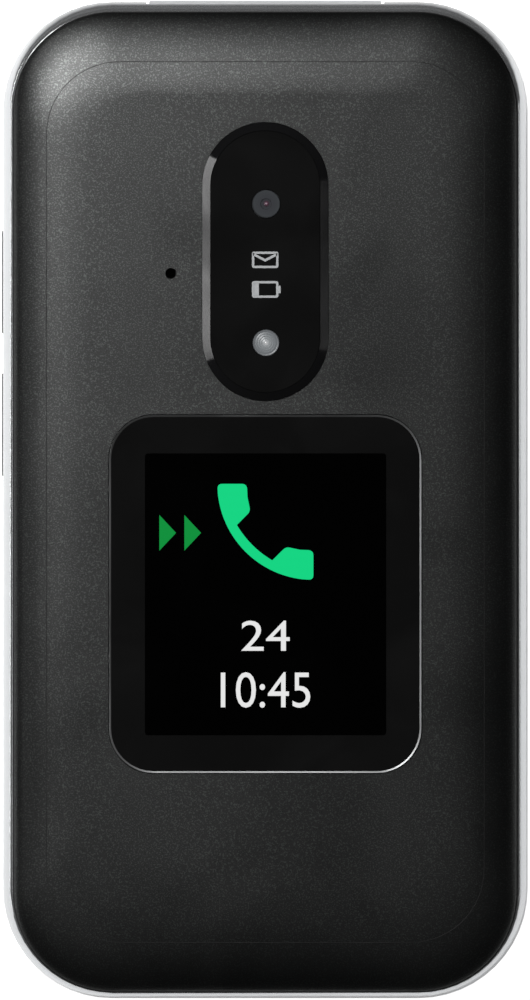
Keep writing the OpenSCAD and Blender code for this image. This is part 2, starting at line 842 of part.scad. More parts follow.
module base_rear_shell() {
    shell_top = base_seam_z + over;
    hollow_y0 = screw_end[1] + hollow_end;
    hollow_y1 = volume_up_y + volume_l / 2 + hollow_top;
    color(white)
        difference() {
            loft(edge_rings(outline, frame_edge, base_seam_z, cap_h));
            behind_the_roll();
            hinge_rod(cradle_r, -body_w, body_w);
            pocket(shell_floor_z, shell_top);
            // Battery bay, with the connector's notch
            slab(bay_w, bay_l, bay_r, cap_h - over, bay_top, y = battery_y);
            block([-connector_w / 2 - room_gap, battery_y1, cap_h - over],
                [connector_w / 2 + room_gap, battery_y1 + connector_l + 2 * room_gap, shell_top]);
            // Bay for the loudspeaker, the motor and the assistance key
            slab(upper_bay_w, upper_bay_y1 - upper_bay_y0, upper_bay_r, cap_h - over, shell_top,
                y = (upper_bay_y0 + upper_bay_y1) / 2);
            // Hollows beside the battery, open upwards
            for (side = [-1, 1])
                slab(hollow_x1 - hollow_x0, hollow_y1 - hollow_y0, hollow_r, cap_h + hollow_lift,
                    shell_top, side * (hollow_x0 + hollow_x1) / 2, (hollow_y0 + hollow_y1) / 2);
            // Room for the card holder, open to the battery bay so that the card slides in there
            block([card_x0 - room_gap, card_y0 - room_gap, cap_h - over],
                [card_x0 + card_w + room_gap, battery_y0, shell_top]);
            // Charging port, through the free end
            port_shape(fit_gap, -body_l, port_end_y + room_gap);
            block([-port_w / 2 - fit_gap, pocket_bottom_y, port_z],
                [port_w / 2 + fit_gap, port_end_y + room_gap, shell_top]);
            // Side keys and their switches
            for (y = [volume_up_y, volume_down_y]) {
                volume_solid(y, volume_gap, -body_w, volume_in_x + over);
                block([volume_in_x - volume_gap, y - volume_l / 2 - volume_room,
                        volume_z - volume_h / 2 - volume_room + face_gap],
                    [-bay_w / 2 - hollow_wall, y + volume_l / 2 + volume_room, shell_top]);
            }
            // Screws
            for (place = screw_places) {
                post(place, screw_hole_r, cap_h - over, shell_top);
                post(place, head_hole_r, cap_h - over, cap_h + screw_head_h + 2 * fit_gap);
            }
            // Grooves for the battery cover's rails, open at the free end
            for (side = [-1, 1])
                block([side * rail_x - rail_t / 2 - rail_gap, -body_l, cap_h - over],
                    [side * rail_x + rail_t / 2 + rail_gap, cover_split + split_gap,
                        cap_h + rail_h + rail_gap]);
        }
}

module rear_cap() {
    slot_room = speaker_w - 2 * slot_w;
    slots = 2 * floor(slot_room / slot_pitch / 2) + 1;
    color(dark)
        difference() {
            back_shell(cover_split + split_gap, body_l);
            post([0, assist_y], assist_hole_r, -over, back_wall + over);
            for (i = [0:slots - 1])
                pill(slot_w, speaker_l - 2 * slot_end, -over, back_wall + over,
                    (i - (slots - 1) / 2) * slot_pitch, speaker_y);
        }
}

module battery_cover() {
    color(dark) {
        back_shell(-body_l, cover_split);
        for (side = [-1, 1])
            block([side * rail_x - rail_t / 2, rail_end_inset - body_l / 2, back_wall / 2],
                [side * rail_x + rail_t / 2, cover_split - rail_split_inset, cap_h + rail_h]);
    }
}

module battery_pack() {
    color([0.2, 0.2, 0.22])
        slab(battery_w, battery_l, battery_r, battery_z, battery_z + battery_t, y = battery_y);
}

module battery_connector() {
    color(black)
        block([-connector_w / 2, battery_y1 + room_gap, cap_h + connector_lift],
            [connector_w / 2, battery_y1 + room_gap + connector_l, board_z]);
}

module main_board() {
    color(board_green)
        difference() {
            pocket(board_z, board_top, board_gap);
            for (place = screw_places)
                post(place, screw_r + room_gap, board_z - over, board_top + over);
            // The charging port sits in a notch of the board
            block([-port_w / 2 - room_gap, -body_l, board_z - over],
                [port_w / 2 + room_gap, port_end_y + room_gap, board_top + over]);
        }
}

module key_domes() {
    color(steel)
        for (place = dome_places)
            translate([place[0], place[1], board_top])
                cylinder(r1 = dome_r, r2 = dome_r * 0.6, h = dome_h);
}

module keypad_mat() {
    mat_side = 1.2;
    mat_r = 2;
    mat_top_y = soft_y + soft_l / 2 + 1.5;
    mat_bottom_y = keypad_bottom_y - 3;
    color([0.55, 0.56, 0.58])
        difference() {
            slab(pocket_w - 2 * mat_side, mat_top_y - mat_bottom_y, mat_r, mat_z, mat_top,
                y = (mat_top_y + mat_bottom_y) / 2);
            post([0, nav_y], nav_flange_r + room_gap + 2 * fit_gap, mat_z - over, mat_top + over);
        }
}

module number_key(index) {
    color(black)
        key(key_w, key_l, key_places[index]);
}

module side_function_key(x, y, l) {
    color(black)
        key(side_w, l, [x, y]);
}

module nav_ring() {
    color(steel)
        difference() {
            union() {
                post([0, nav_y], nav_r, nav_flange_z, deck_z + nav_proud);
                post([0, nav_y], nav_flange_r, nav_flange_z, nav_flange_top);
            }
            post([0, nav_y], pad_r + nav_gap, nav_flange_z - over, nav_under_z);
            post([0, nav_y], ok_r + nav_gap, nav_flange_z, base_h + over);
        }
}

module nav_pivot_pad() {
    color([0.4, 0.41, 0.43]) {
        difference() {
            post([0, nav_y], pad_r, pad_z, pad_top);
            post([0, nav_y], pad_hole_r, pad_z - over, pad_top + over);
        }
        // Nubs under the ring on one line, and on the board on the line across it
        for (side = [-1, 1]) {
            post([side * (pad_r - nub_inset), nav_y], nub_r, pad_z + pad_t / 2,
                nav_under_z - nub_gap);
            post([0, nav_y + side * (pad_hole_r + nub_space)], nub_r, board_top + dome_h + nub_gap,
                pad_z + pad_t / 2);
        }
    }
}

module ok_key() {
    color(black) {
        post([0, nav_y], ok_r, pad_z + face_gap, deck_z + key_proud);
        post([0, nav_y], ok_flange_r, pad_z + face_gap, pad_top);
    }
}

module volume_key(y) {
    color(black) {
        volume_solid(y, 0, volume_out_x, volume_in_x);
        volume_solid(y, volume_flange, volume_in_x, volume_in_x + volume_flange_t);
    }
}

module tact_switches() {
    body_x0 = switch_x + plunger_size[0];
    color(steel) {
        for (y = [volume_up_y, volume_down_y]) {
            block([body_x0, y - switch_size[1] / 2, volume_z - switch_size[2]],
                [body_x0 + switch_size[0], y + switch_size[1] / 2, board_z]);
            block([switch_x, y - plunger_size[1] / 2, volume_z - plunger_size[2] / 2],
                [body_x0, y + plunger_size[1] / 2, volume_z + plunger_size[2] / 2]);
        }
        slab(assist_switch_w, assist_switch_w, fit_gap * 4, board_z - assist_switch_h, board_z,
            y = assist_y);
    }
}

module assist_key() {
    flange_bottom = back_wall + face_gap;
    color([0.6, 0.05, 0.05]) {
        post([0, assist_y], assist_r, assist_recess, flange_bottom + assist_flange_t);
        post([0, assist_y], assist_flange_r, flange_bottom, flange_bottom + assist_flange_t);
        post([0, assist_y], assist_stem_r, flange_bottom, board_z - assist_switch_h - assist_switch_gap);
    }
}

module base_microphone() {
    color(steel)
        slab(base_mic_size[0], base_mic_size[1], fit_gap * 4, board_top, deck_under - face_gap,
            base_mic_place[0], base_mic_place[1]);
}

module loudspeaker() {
    color(black)
        slab(speaker_w, speaker_l, speaker_r, back_wall + room_gap, back_wall + room_gap + speaker_t,
            y = speaker_y);
}

module usb_port() {
    color(steel)
        difference() {
            port_shape(0, port_mouth_y, port_end_y);
            port_shape(-port_wall, port_mouth_y - over, port_end_y - port_back);
        }
    color(black)
        block([-port_tongue[0] / 2, port_mouth_y + port_tongue_inset, port_z - port_tongue[1] / 2],
            [port_tongue[0] / 2, port_end_y - port_back + over, port_z + port_tongue[1] / 2]);
}

module sim_holder() {
    low = [card_x0, card_y0, board_z - card_h];
    slot_low = low + [card_wall, card_wall * 2, card_floor];
    color(steel)
        difference() {
            block(low, low + [card_w, card_l, card_h]);
            block(slot_low, slot_low + [card_w - 2 * card_wall, card_l, card_slot_h]);
        }
}

module vibration_motor() {
    color(steel)
        post(motor_place, motor_r, board_z - motor_h, board_z);
}

module base_screws() {
    color(steel)
        for (place = screw_places)
            screw(place, cap_h + screw_lift);
}

// ---- Hinge ------------------------------------------------------------------------------

module hinge_cartridge() {
    color(steel)
        difference() {
            hinge_rod(cartridge_r, cartridge_x0, cartridge_x1);
            hinge_rod(cartridge_r - cartridge_wall, cartridge_x0 + end_cap_t, cartridge_x1 - end_cap_t);
            hinge_rod(shaft_r + running_gap, cartridge_x0 - over, cartridge_x0 + end_cap_t + over);
        }
}

module hinge_shaft() {
    color([0.55, 0.56, 0.58]) {
        hinge_rod(shaft_r, -ear_x, cartridge_x1 - end_cap_t - shaft_end_gap);
        hinge_rod(cartridge_r - cartridge_wall - running_gap, cam_x0, cam_x0 + cam_t);
        translate([hex_gap - ear_x - hex_depth, hinge_y, hinge_z])
            rotate([0, 90, 0])
                cylinder(r = hex_r, h = hex_depth, $fn = 6);
    }
}

// The spring's wire: small rings along a helix round the hinge axis
module hinge_spring() {
    end_gap = spring_wire_r + fit_gap;
    x0 = cam_x0 + cam_t + end_gap;
    x1 = cartridge_x1 - end_cap_t - end_gap;
    count = spring_turns * spring_steps;
    rings = [for (i = [0:count])
        let (a = 360 * i / spring_steps, x = x0 + (x1 - x0) * i / count)
        [for (k = [0:spring_sides - 1])
            let (b = 360 * k / spring_sides, r = spring_mean_r + spring_wire_r * cos(b))
            [x + spring_wire_r * sin(b), hinge_y + r * cos(a), hinge_z + r * sin(a)]]];
    color(steel)
        loft(rings);
}

module hinge_pivot_bush() {
    color(gold)
        difference() {
            hinge_rod(bush_r, bush_x0, bush_x1);
            hinge_rod(bush_bore_r, bush_x0 - over, bush_x1 + over);
        }
}

module flex_cable_base() {
    plug_y1 = pocket_top_y - flex_tail;
    color(amber) {
        hinge_rod(flex_r, flex_x0, flex_join_x - flex_slot_gap);
        block([flex_x0, hinge_y - flex_t / 2, flex_z], [flex_x1, hinge_y + flex_t / 2, hinge_z]);
        block([flex_x0, plug_y1, flex_z], [flex_x1, hinge_y, flex_z + flex_t]);
        block([flex_x0 - flex_plug_side, plug_y1 - flex_plug_l, board_top],
            [flex_x1 + flex_plug_side, plug_y1 + flex_plug_lap, flex_z + flex_t]);
    }
}

module flex_cable_lid() {
    riser_y = pocket_top_y - flex_tail + 2 * flex_t;
    color(amber) {
        hinge_rod(flex_r, flex_join_x + flex_slot_gap, lid_flex_x1);
        block([lid_flex_x0, riser_y, lid_flex_z], [lid_flex_x1, hinge_y, lid_flex_z + flex_t]);
        block([lid_flex_x0, riser_y, lid_flex_z], [lid_flex_x1, riser_y + flex_t, lid_board_z]);
        block([lid_flex_x0, riser_y - lid_flex_w, lid_board_z - lid_plug_h],
            [lid_flex_x1, riser_y + flex_t, lid_board_z]);
    }
}

// ---- Lid --------------------------------------------------------------------------------

module lid_frame() {
    color(white)
        difference() {
            union() {
                difference() {
                    loft(concat([ring(outline, hinge_z - ear_r - over)],
                        edge_rings(outline, frame_edge, lid_shoulder_z, lid_seam_z)));
                    // Below the lid only the knuckles are left
                    difference() {
                        block([-body_w, -body_l, 0], [body_w, body_l, lid_z]);
                        hinge_rod(ear_r, -body_w, -ear_x);
                        hinge_rod(ear_r, ear_x, body_w);
                    }
                    pocket(plate_top, lid_top);
                    // Room for the base's barrel, under a lip that reaches out over it
                    hinge_rod(swing_r, -ear_x, ear_x);
                    block([-ear_x, hinge_y, 0], [ear_x, body_l, hinge_z + swing_r * sin(lip_angle)]);
                    block([-ear_x, hinge_y - swing_r / 2, 0], [ear_x, body_l, lid_z + over]);
                }
                for (place = screw_places)
                    post(place, boss_r + cover_boss_step, plate_top - over, lid_boss_top);
            }
            // Seat of the main window, the opening behind it and the earpiece's slot
            slab(main_window_w + 2 * fit_gap, main_window_l + 2 * fit_gap, main_window_r,
                lid_z - over, main_window_z + main_window_t, y = display_y);
            slab(display_w - 2 * display_border[0], display_l - 2 * display_border[1],
                display_border[0], lid_z, plate_top + over, y = display_y);
            translate([0, earpiece_y, lid_z - over])
                linear_extrude(plate_t + 2 * over)
                    stadium(ear_slot[0], ear_slot[1]);
            for (place = screw_places) {
                post(place, bumper_r + face_gap, lid_z - over, lid_z + bumper_depth + face_gap);
                post(place, screw_head_r + 1.5 * fit_gap, lid_z, lid_head_top);
                post(place, thread_r + fit_gap, lid_z, lid_boss_top + over);
            }
            // Keyed seat of the hinge shaft, bore of the bush and the cable's way in
            translate([-ear_x - hex_depth - 2 * hex_gap, hinge_y, hinge_z])
                rotate([0, 90, 0])
                    cylinder(r = hex_r + face_gap, h = hex_depth + 3 * hex_gap + over, $fn = 6);
            hinge_rod(bush_r + running_gap, ear_x - over, bush_x1 + 2 * fit_gap);
            hinge_rod(bush_bore_r, bush_x1, lid_flex_x1 + room_gap);
            block([lid_flex_x0 - room_gap, pocket_top_y - flex_tail + flex_t, lid_flex_z - 2 * fit_gap],
                [lid_flex_x1 + room_gap, hinge_y, lid_flex_z + flex_t + 2 * fit_gap]);
        }
}

// Outer form of the lid's cover, with its crown
module cover_form() {
    loft(concat(
        edge_rings(cap_edge, cap_flat, lid_seam_z + face_gap, crease_z),
        [ring(between(cap_flat, plateau, 0.5), crease_z + crown * 0.75), ring(plateau, lid_top)]
    ));
}

// Everything inside the cover, as far in from its outer face as inset
module cover_hollow(inset) {
    edge = grown(cap_edge, -inset);
    loft(concat([ring(edge, lid_z)],
        edge_rings(edge, grown(cap_flat, -inset), lid_seam_z, lid_top - inset)));
}

module lid_cover() {
    color(dark)
        difference() {
            union() {
                difference() {
                    cover_form();
                    cover_hollow(cover_wall);
                    hinge_rod(swing_r, -ear_x, ear_x);
                }
                intersection() {
                    cover_hollow(cover_wall / 2);
                    for (place = screw_places)
                        post(place, boss_r - cover_boss_step, lid_boss_top + face_gap, lid_top);
                }
            }
            // Outer window, on its ledge
            slab(window_w + 2 * fit_gap, window_l + 2 * fit_gap, window_r + fit_gap, window_z,
                lid_top + over, y = window_y);
            slab(window_w - 2 * window_ledge, window_l - 2 * window_ledge, window_r - window_ledge,
                lid_inner_z - over, lid_top, y = window_y);
            // Camera island, on its flange
            pill(island_w + fit_gap, island_l + fit_gap, lid_top - island_flange_t, lid_top + over,
                y = island_y);
            pill(island_w - 2 * island_stem + fit_gap, island_l - 2 * island_stem + fit_gap,
                lid_inner_z - over, lid_top, y = island_y);
            post(mic_place, mic_hole_r, lid_inner_z - over, lid_top + over);
            for (place = screw_places)
                post(place, thread_r, lid_boss_top - over,
                    lid_head_top - screw_head_h + screw_l + boss_end_gap);
        }
}

module lid_screws() {
    color(steel)
        for (place = screw_places)
            screw(place, lid_head_top - screw_head_h - nub_gap);
}

module lid_bumpers() {
    color([0.25, 0.26, 0.27])
        for (place = screw_places)
            post(place, bumper_r, bumper_z, lid_z + bumper_depth);
}

module camera_island() {
    stem_w = island_w - 2 * island_stem;
    stem_l = island_l - 2 * island_stem;
    half = (island_l - island_w) / 2;
    color(black)
        difference() {
            union() {
                pill(stem_w, stem_l, island_bottom, lid_top, y = island_y);
                pill(island_w, island_l, lid_top - island_flange_t, lid_top, y = island_y);
                // Chamfered cap: two cones joined by a chamfered bar
                for (end = [-1, 1])
                    translate([0, island_y + end * half, lid_top])
                        cylinder(r1 = island_w / 2, r2 = island_w / 2 - island_chamfer, h = island_h);
                translate([0, island_y + half, lid_top])
                    rotate([90, 0, 0])
                        linear_extrude(2 * half)
                            polygon([
                                [-island_w / 2, 0],
                                [island_w / 2, 0],
                                [island_w / 2 - island_chamfer, island_h],
                                [-island_w / 2 + island_chamfer, island_h]
                            ]);
            }
            pill(camera_glass_w + 2 * face_gap, camera_glass_l + 2 * face_gap,
                camera_glass_z - nub_gap, island_top + over, y = island_y);
            post(lens_place, camera_barrel_r + fit_gap, island_bottom - over, island_top);
            post(flash_place, flash_r + fit_gap, island_bottom - over, island_top);
        }
}

module camera_window() {
    color([0.02, 0.02, 0.02])
        difference() {
            pill(camera_glass_w, camera_glass_l, camera_glass_z, island_top, y = island_y);
            post(lens_place, lens_r + face_gap, camera_glass_z - over, island_top + over);
            post(flash_place, flash_r + face_gap, camera_glass_z - over, island_top + over);
        }
}

module camera_module() {
    color([0.1, 0.1, 0.12]) {
        slab(camera_size, camera_size, display_r, display_z + 2 * fit_gap, camera_shoulder_z,
            lens_place[0], lens_place[1]);
        post(lens_place, camera_barrel_r, camera_shoulder_z - over, camera_glass_z - 2 * fit_gap);
    }
}

module camera_lens() {
    color([0.2, 0.22, 0.24])
        post(lens_place, lens_r, camera_glass_z, island_top - lens_sink);
}

module flash_lens() {
    color([0.75, 0.75, 0.72])
        post(flash_place, flash_r, lid_board_top, island_top - lens_sink);
}

module outer_window() {
    color([0.02, 0.02, 0.02])
        slab(window_w, window_l, window_r, window_z, window_z + window_t, y = window_y);
}

module outer_display() {
    color([0.05, 0.05, 0.06])
        slab(outer_display_w, outer_display_l, outer_display_r, outer_display_z,
            outer_display_z + outer_display_t, y = window_y);
}

module main_display_window() {
    color([0.02, 0.02, 0.02])
        slab(main_window_w, main_window_l, main_window_r - fit_gap, main_window_z,
            main_window_z + main_window_t - face_gap, y = display_y);
}

module main_display() {
    color([0.05, 0.05, 0.06])
        slab(display_w, display_l, display_r, display_z, display_z + display_t, y = display_y);
}

module lid_board() {
    board_r = 1;
    neck_gap = 2;
    y0 = display_y0 + display_r;
    neck_y = screw_top[1] - 2 * boss_r;
    top_y = pocket_top_y - 3 * room_gap;
    neck_w = 2 * (screw_top[0] - boss_r - neck_gap);
    camera_room = camera_size + 2 * room_gap;
    color(board_green)
        difference() {
            union() {
                slab(display_w, neck_y - y0, board_r, lid_board_z, lid_board_top,
                    y = (neck_y + y0) / 2);
                slab(neck_w, top_y - y0, board_r, lid_board_z, lid_board_top, y = (top_y + y0) / 2);
            }
            slab(camera_room, camera_room, display_r, lid_board_z - over, lid_board_top + over,
                lens_place[0], lens_place[1]);
        }
}

module lid_microphone() {
    color([0.3, 0.3, 0.32])
        difference() {
            post(mic_place, mic_r, lid_board_top, lid_inner_z - face_gap);
            post(mic_place, mic_inlet_r, lid_board_top + mic_floor, lid_inner_z + over);
        }
}

module earpiece() {
    color(black)
        slab(earpiece_w, earpiece_l, earpiece_r, plate_top + room_gap,
            plate_top + room_gap + earpiece_h, y = earpiece_y);
}

// ---- The set ----------------------------------------------------------------------------

base_front_frame();
base_rear_shell();
rear_cap();
battery_cover();
battery_pack();
battery_connector();
main_board();
key_domes();
keypad_mat();
number_key(0);  // key_1
number_key(1);  // key_2
number_key(2);  // key_3
number_key(3);  // key_4
number_key(4);  // key_5
number_key(5);  // key_6
number_key(6);  // key_7
number_key(7);  // key_8
number_key(8);  // key_9
number_key(9);  // key_star
number_key(10);  // key_0
number_key(11);  // key_hash
side_function_key(-side_x, call_y, call_l);  // call_key
side_function_key(side_x, call_y, call_l);  // end_key
side_function_key(-side_x, soft_y, soft_l);  // left_soft_key
side_function_key(side_x, soft_y, soft_l);  // right_soft_key
nav_ring();
nav_pivot_pad();
ok_key();
volume_key(volume_up_y);  // volume_up_key
volume_key(volume_down_y);  // volume_down_key
assist_key();
tact_switches();
base_microphone();
loudspeaker();
usb_port();
sim_holder();
vibration_motor();
base_screws();
flex_cable_base();
hinge_cartridge();
hinge_spring();
hinge_shaft();
hinge_pivot_bush();
lid_frame();
lid_cover();
lid_screws();
lid_bumpers();
camera_island();
camera_window();
camera_module();
camera_lens();
flash_lens();
outer_window();
outer_display();
main_display_window();
main_display();
lid_board();
lid_microphone();
earpiece();
flex_cable_lid();
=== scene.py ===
"""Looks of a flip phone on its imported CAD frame: shells, glass, keys, printed marks and studio.

Sizes are millimetres, apart from the studio's: a mesh is scaled to metres when it becomes an
object. The phone lies on its back, +Y towards the hinge and +Z out of the lid's cover, as in
the CAD.
"""

import logging
import math
from dataclasses import dataclass, replace
from enum import Enum
from typing import Iterable, Sequence

import bmesh
import bpy
from mathutils import Matrix, Vector


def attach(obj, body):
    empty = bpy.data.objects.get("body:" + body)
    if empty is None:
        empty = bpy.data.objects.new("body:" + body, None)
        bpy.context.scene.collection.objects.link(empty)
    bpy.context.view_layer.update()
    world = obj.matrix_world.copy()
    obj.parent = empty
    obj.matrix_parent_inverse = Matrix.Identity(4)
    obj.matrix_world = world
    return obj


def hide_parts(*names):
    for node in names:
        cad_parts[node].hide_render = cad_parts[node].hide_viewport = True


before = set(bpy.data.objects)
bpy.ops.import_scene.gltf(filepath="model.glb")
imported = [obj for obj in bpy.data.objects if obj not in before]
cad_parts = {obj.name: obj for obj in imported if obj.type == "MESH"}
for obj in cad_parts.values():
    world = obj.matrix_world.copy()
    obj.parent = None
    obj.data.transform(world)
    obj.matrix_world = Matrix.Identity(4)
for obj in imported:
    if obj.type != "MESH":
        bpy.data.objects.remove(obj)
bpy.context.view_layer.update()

LOG = logging.getLogger("flip_phone")
MM = 0.001
CORNER_GUARD = 0.3
MERGE_METRES = 2e-7
SLIVER_METRES = 1e-7
LETTER_THICKNESS = 0.02
TONE_LEVELS = (0.3, 0.7)
Flat = tuple[float, float]
Point = tuple[float, float, float]
Colour = tuple[float, float, float]
ShaderColour = tuple[float, float, float, float]
Socket = bpy.types.NodeSocket
Tree = bpy.types.NodeTree
Node = bpy.types.Node
Material = bpy.types.Material
Piece = bpy.types.Object
Loop = Sequence[bmesh.types.BMVert]


class Body(str, Enum):
    """Bodies of the mechanism that more than one piece rides on."""

    BASE = "base"
    LID = "lid"
    BATTERY_COVER = "battery_cover"
    ASSIST_KEY = "assist_key"
    NAV_RING = "nav_ring"
    OK_KEY = "ok_key"


class Slot(str, Enum):
    """Material slot names, passed along with the scene's own pieces but not applied to them."""

    FRAME = "frame_shell"
    COVER = "cover_shell"
    KEY = "key_plastic"
    ASSIST = "assist_plastic"
    BLACK = "black_plastic"
    ISLAND = "island_plastic"
    WINDOW = "window_glass"
    DISPLAY = "display_glass"
    LENS = "lens_glass"
    FLASH = "flash_plastic"
    SATIN = "satin_metal"
    STEEL = "steel"
    BRASS = "brass"
    BATTERY = "battery_can"


class Facing(Enum):
    """Which way a printed piece faces."""

    UP = 1
    DOWN = -1


# ---- Node trees ----------------------------------------------------------------------------------


class Nodes:
    """A short way to write a node tree, in a material or in a node group."""

    def __init__(self, tree: Tree) -> None:
        """Keeps the tree that nodes are added to.

        Args:
            tree: the node tree to write.
        """
        self.tree = tree

    def add(self, kind: str, inputs: dict | None = None, **settings: object) -> Node:
        """Adds a node, sets it up and plugs its inputs.

        Args:
            kind: the node's type, such as "ShaderNodeMath".
            inputs: input name or index to a value, or to the output socket that feeds it.
            settings: the node's own properties.

        Returns:
            The new node.
        """
        node = self.tree.nodes.new(kind)
        for name, value in settings.items():
            setattr(node, name, value)
        for name, value in (inputs or {}).items():
            socket = node.inputs[name]
            if isinstance(value, Socket):
                self.tree.links.new(value, socket)
            else:
                socket.default_value = value
        return node

    def math(self, operation: str, *values: object) -> Socket:
        """Adds a Math node on the given values and returns its result."""
        return self.add("ShaderNodeMath", dict(enumerate(values)), operation=operation).outputs[0]

    def span(self, value: object, low: object, high: object, to_low: float = 0.0,
             to_high: float = 1.0) -> Socket:
        """Maps low..high of a value to to_low..to_high, clamped."""
        levels = {"From Min": low, "From Max": high, "To Min": to_low, "To Max": to_high}
        return self.add("ShaderNodeMapRange", {"Value": value, **levels}).outputs["Result"]

    def mix(self, share: object, low: object, high: object) -> Socket:
        """Mixes two colours by a share.

        Args:
            share: 0 for the first colour, 1 for the second, or the socket that says so.
            low: the first colour, or the socket that feeds it.
            high: the second colour, or the socket that feeds it.

        Returns:
            The mixed colour's socket.
        """
        return self.add("ShaderNodeMix", {0: share, 6: low, 7: high}, data_type="RGBA").outputs[2]

    def place(self) -> Socket:
        """The place on the piece, in Object coordinates."""
        return self.add("ShaderNodeTexCoord").outputs["Object"]

    def group(self, tree: Tree, inputs: dict | None = None) -> Node:
        """Places a shader group with its own values."""
        return self.add("ShaderNodeGroup", inputs, node_tree=tree)

    def plug(self, source: Socket, node: Node, name: str | int) -> None:
        """Plugs a socket into a node's input."""
        self.tree.links.new(source, node.inputs[name])


def new_group(name: str, kind: str, inputs: dict[str, tuple[str, object]],
              outputs: dict[str, str]) -> tuple[Tree, Nodes, dict, Node]:
    """Starts a node group with named sockets.

    Args:
        name: the group's name.
        kind: "ShaderNodeTree" or "GeometryNodeTree".
        inputs: input name to (socket type, default value).
        outputs: output name to socket type.

    Returns:
        The tree, its writer, its input sockets by name and its output node.
    """
    tree = bpy.data.node_groups.new(name, kind)
    for label, (socket, default) in inputs.items():
        item = tree.interface.new_socket(label, in_out="INPUT", socket_type=socket)
        if default is not None:
            item.default_value = default
    for label, socket in outputs.items():
        tree.interface.new_socket(label, in_out="OUTPUT", socket_type=socket)
    nodes = Nodes(tree)
    source = nodes.add("NodeGroupInput")
    sockets = {label: source.outputs[label] for label in inputs}
    return tree, nodes, sockets, nodes.add("NodeGroupOutput")


def linear(red: float, green: float, blue: float) -> ShaderColour:
    """A colour as seen, as the linear colour that a shader takes.

    Args:
        red: its red, 0 to 255.
        green: its green, 0 to 255.
        blue: its blue, 0 to 255.

    Returns:
        The linear red, green and blue, 0 to 1, and an alpha of 1.
    """
    def one(value: float) -> float:
        """One channel, 0 to 255, made linear."""
        share = value / 255
        return share / 12.92 if share <= 0.04045 else ((share + 0.055) / 1.055) ** 2.4
    return one(red), one(green), one(blue), 1.0


def shaded(colour: Colour, share: float) -> ShaderColour:
    """A colour at a share of its brightness, as a shader takes it."""
    return linear(*(c * share for c in colour))


# ---- Surface effects that several finishes share -------------------------------------------------


class Effects:
    """Shader groups for speckle, grain and handling marks, built once."""

    fleck_level: float = 0.755
    fleck_cover: float = 0.5
    fleck_edge: float = 0.09
    tone_scale: float = 0.04
    smudge_levels: Flat = (0.42, 0.68)
    hairline_levels: Flat = (0.7, 0.78)
    hairline_turn: Point = (0.3, 0.2, 0.6)
    hairline_stretch: Point = (90.0, 2600.0, 700.0)

    def __init__(self) -> None:
        """Builds the three groups."""
        self.speckle = self._speckle()
        self.grain = self._grain()
        self.handling = self._handling()

    def _speckle(self) -> Tree:
        """Fine flecks in a textured paint.

        Returns:
            The group, with a mask of flecks and the height of the texture.
        """
        tree, nodes, inputs, out = new_group(
            "paint_speckle", "ShaderNodeTree",
            {"Scale": ("NodeSocketFloat", 6500.0), "Coverage": ("NodeSocketFloat", 0.5)},
            {"Fleck": "NodeSocketFloat", "Height": "NodeSocketFloat"})
        fine = nodes.add("ShaderNodeTexNoise", {"Vector": nodes.place(), "Scale": inputs["Scale"],
                                                "Detail": 1.0, "Roughness": 0.6}).outputs["Fac"]
        cover = nodes.math("MULTIPLY", inputs["Coverage"], self.fleck_cover)
        low = nodes.math("SUBTRACT", self.fleck_level, cover)
        high = nodes.math("ADD", low, self.fleck_edge)
        nodes.plug(nodes.span(fine, low, high), out, "Fleck")
        nodes.plug(fine, out, "Height")
        return tree

    def _grain(self) -> Tree:
        """Fine moulded or blasted grain.

        Returns:
            The group, with a height and a slow variation of tone.
        """
        tree, nodes, inputs, out = new_group(
            "fine_grain", "ShaderNodeTree", {"Scale": ("NodeSocketFloat", 2500.0)},
            {"Height": "NodeSocketFloat", "Tone": "NodeSocketFloat"})
        place = nodes.place()
        height = nodes.add("ShaderNodeTexNoise", {"Vector": place, "Scale": inputs["Scale"],
                                                  "Detail": 3.0}).outputs["Fac"]
        slow = nodes.math("MULTIPLY", inputs["Scale"], self.tone_scale)
        tone = nodes.add("ShaderNodeTexNoise", {"Vector": place, "Scale": slow,
                                                "Detail": 2.0}).outputs["Fac"]
        nodes.plug(height, out, "Height")
        nodes.plug(tone, out, "Tone")
        return tree

    def _handling(self) -> Tree:
        """Marks of use: soft smudges and a few hairline scratches.

        Returns:
            The group, with one mask of both.
        """
        tree, nodes, inputs, out = new_group(
            "handling_marks", "ShaderNodeTree",
            {"Smudge Scale": ("NodeSocketFloat", 60.0), "Scratches": ("NodeSocketFloat", 0.3)},
            {"Mark": "NodeSocketFloat"})
        place = nodes.place()
        smudge = nodes.add("ShaderNodeTexNoise", {"Vector": place, "Scale": inputs["Smudge Scale"],
                                                  "Detail": 3.0, "Distortion": 0.6}).outputs["Fac"]
        turned = nodes.add("ShaderNodeMapping", {
            "Vector": place, "Rotation": self.hairline_turn,
            "Scale": self.hairline_stretch}).outputs["Vector"]
        hair = nodes.add("ShaderNodeTexNoise", {"Vector": turned, "Scale": 1.0,
                                                "Detail": 1.0}).outputs["Fac"]
        lines = nodes.math("MULTIPLY", nodes.span(hair, *self.hairline_levels), inputs["Scratches"])
        mark = nodes.math("MAXIMUM", nodes.span(smudge, *self.smudge_levels), lines)
        nodes.plug(mark, out, "Mark")
        return tree


# ---- Finishes ------------------------------------------------------------------------------------


def new_material(name: str, **settings: object) -> tuple[Material, Nodes, Node]:
    """Starts a material with its Principled shader.

    Args:
        name: the material's name.
        settings: constant values of the shader's sockets, with spaces written as underscores.

    Returns:
        The material, its writer and its shader node.
    """
    material = bpy.data.materials.new(name)
    material.use_nodes = True
    nodes = Nodes(material.node_tree)
    shader = next(n for n in nodes.tree.nodes if n.type == "BSDF_PRINCIPLED")
    for label, value in settings.items():
        shader.inputs[label.replace("_", " ")].default_value = value
    return material, nodes, shader


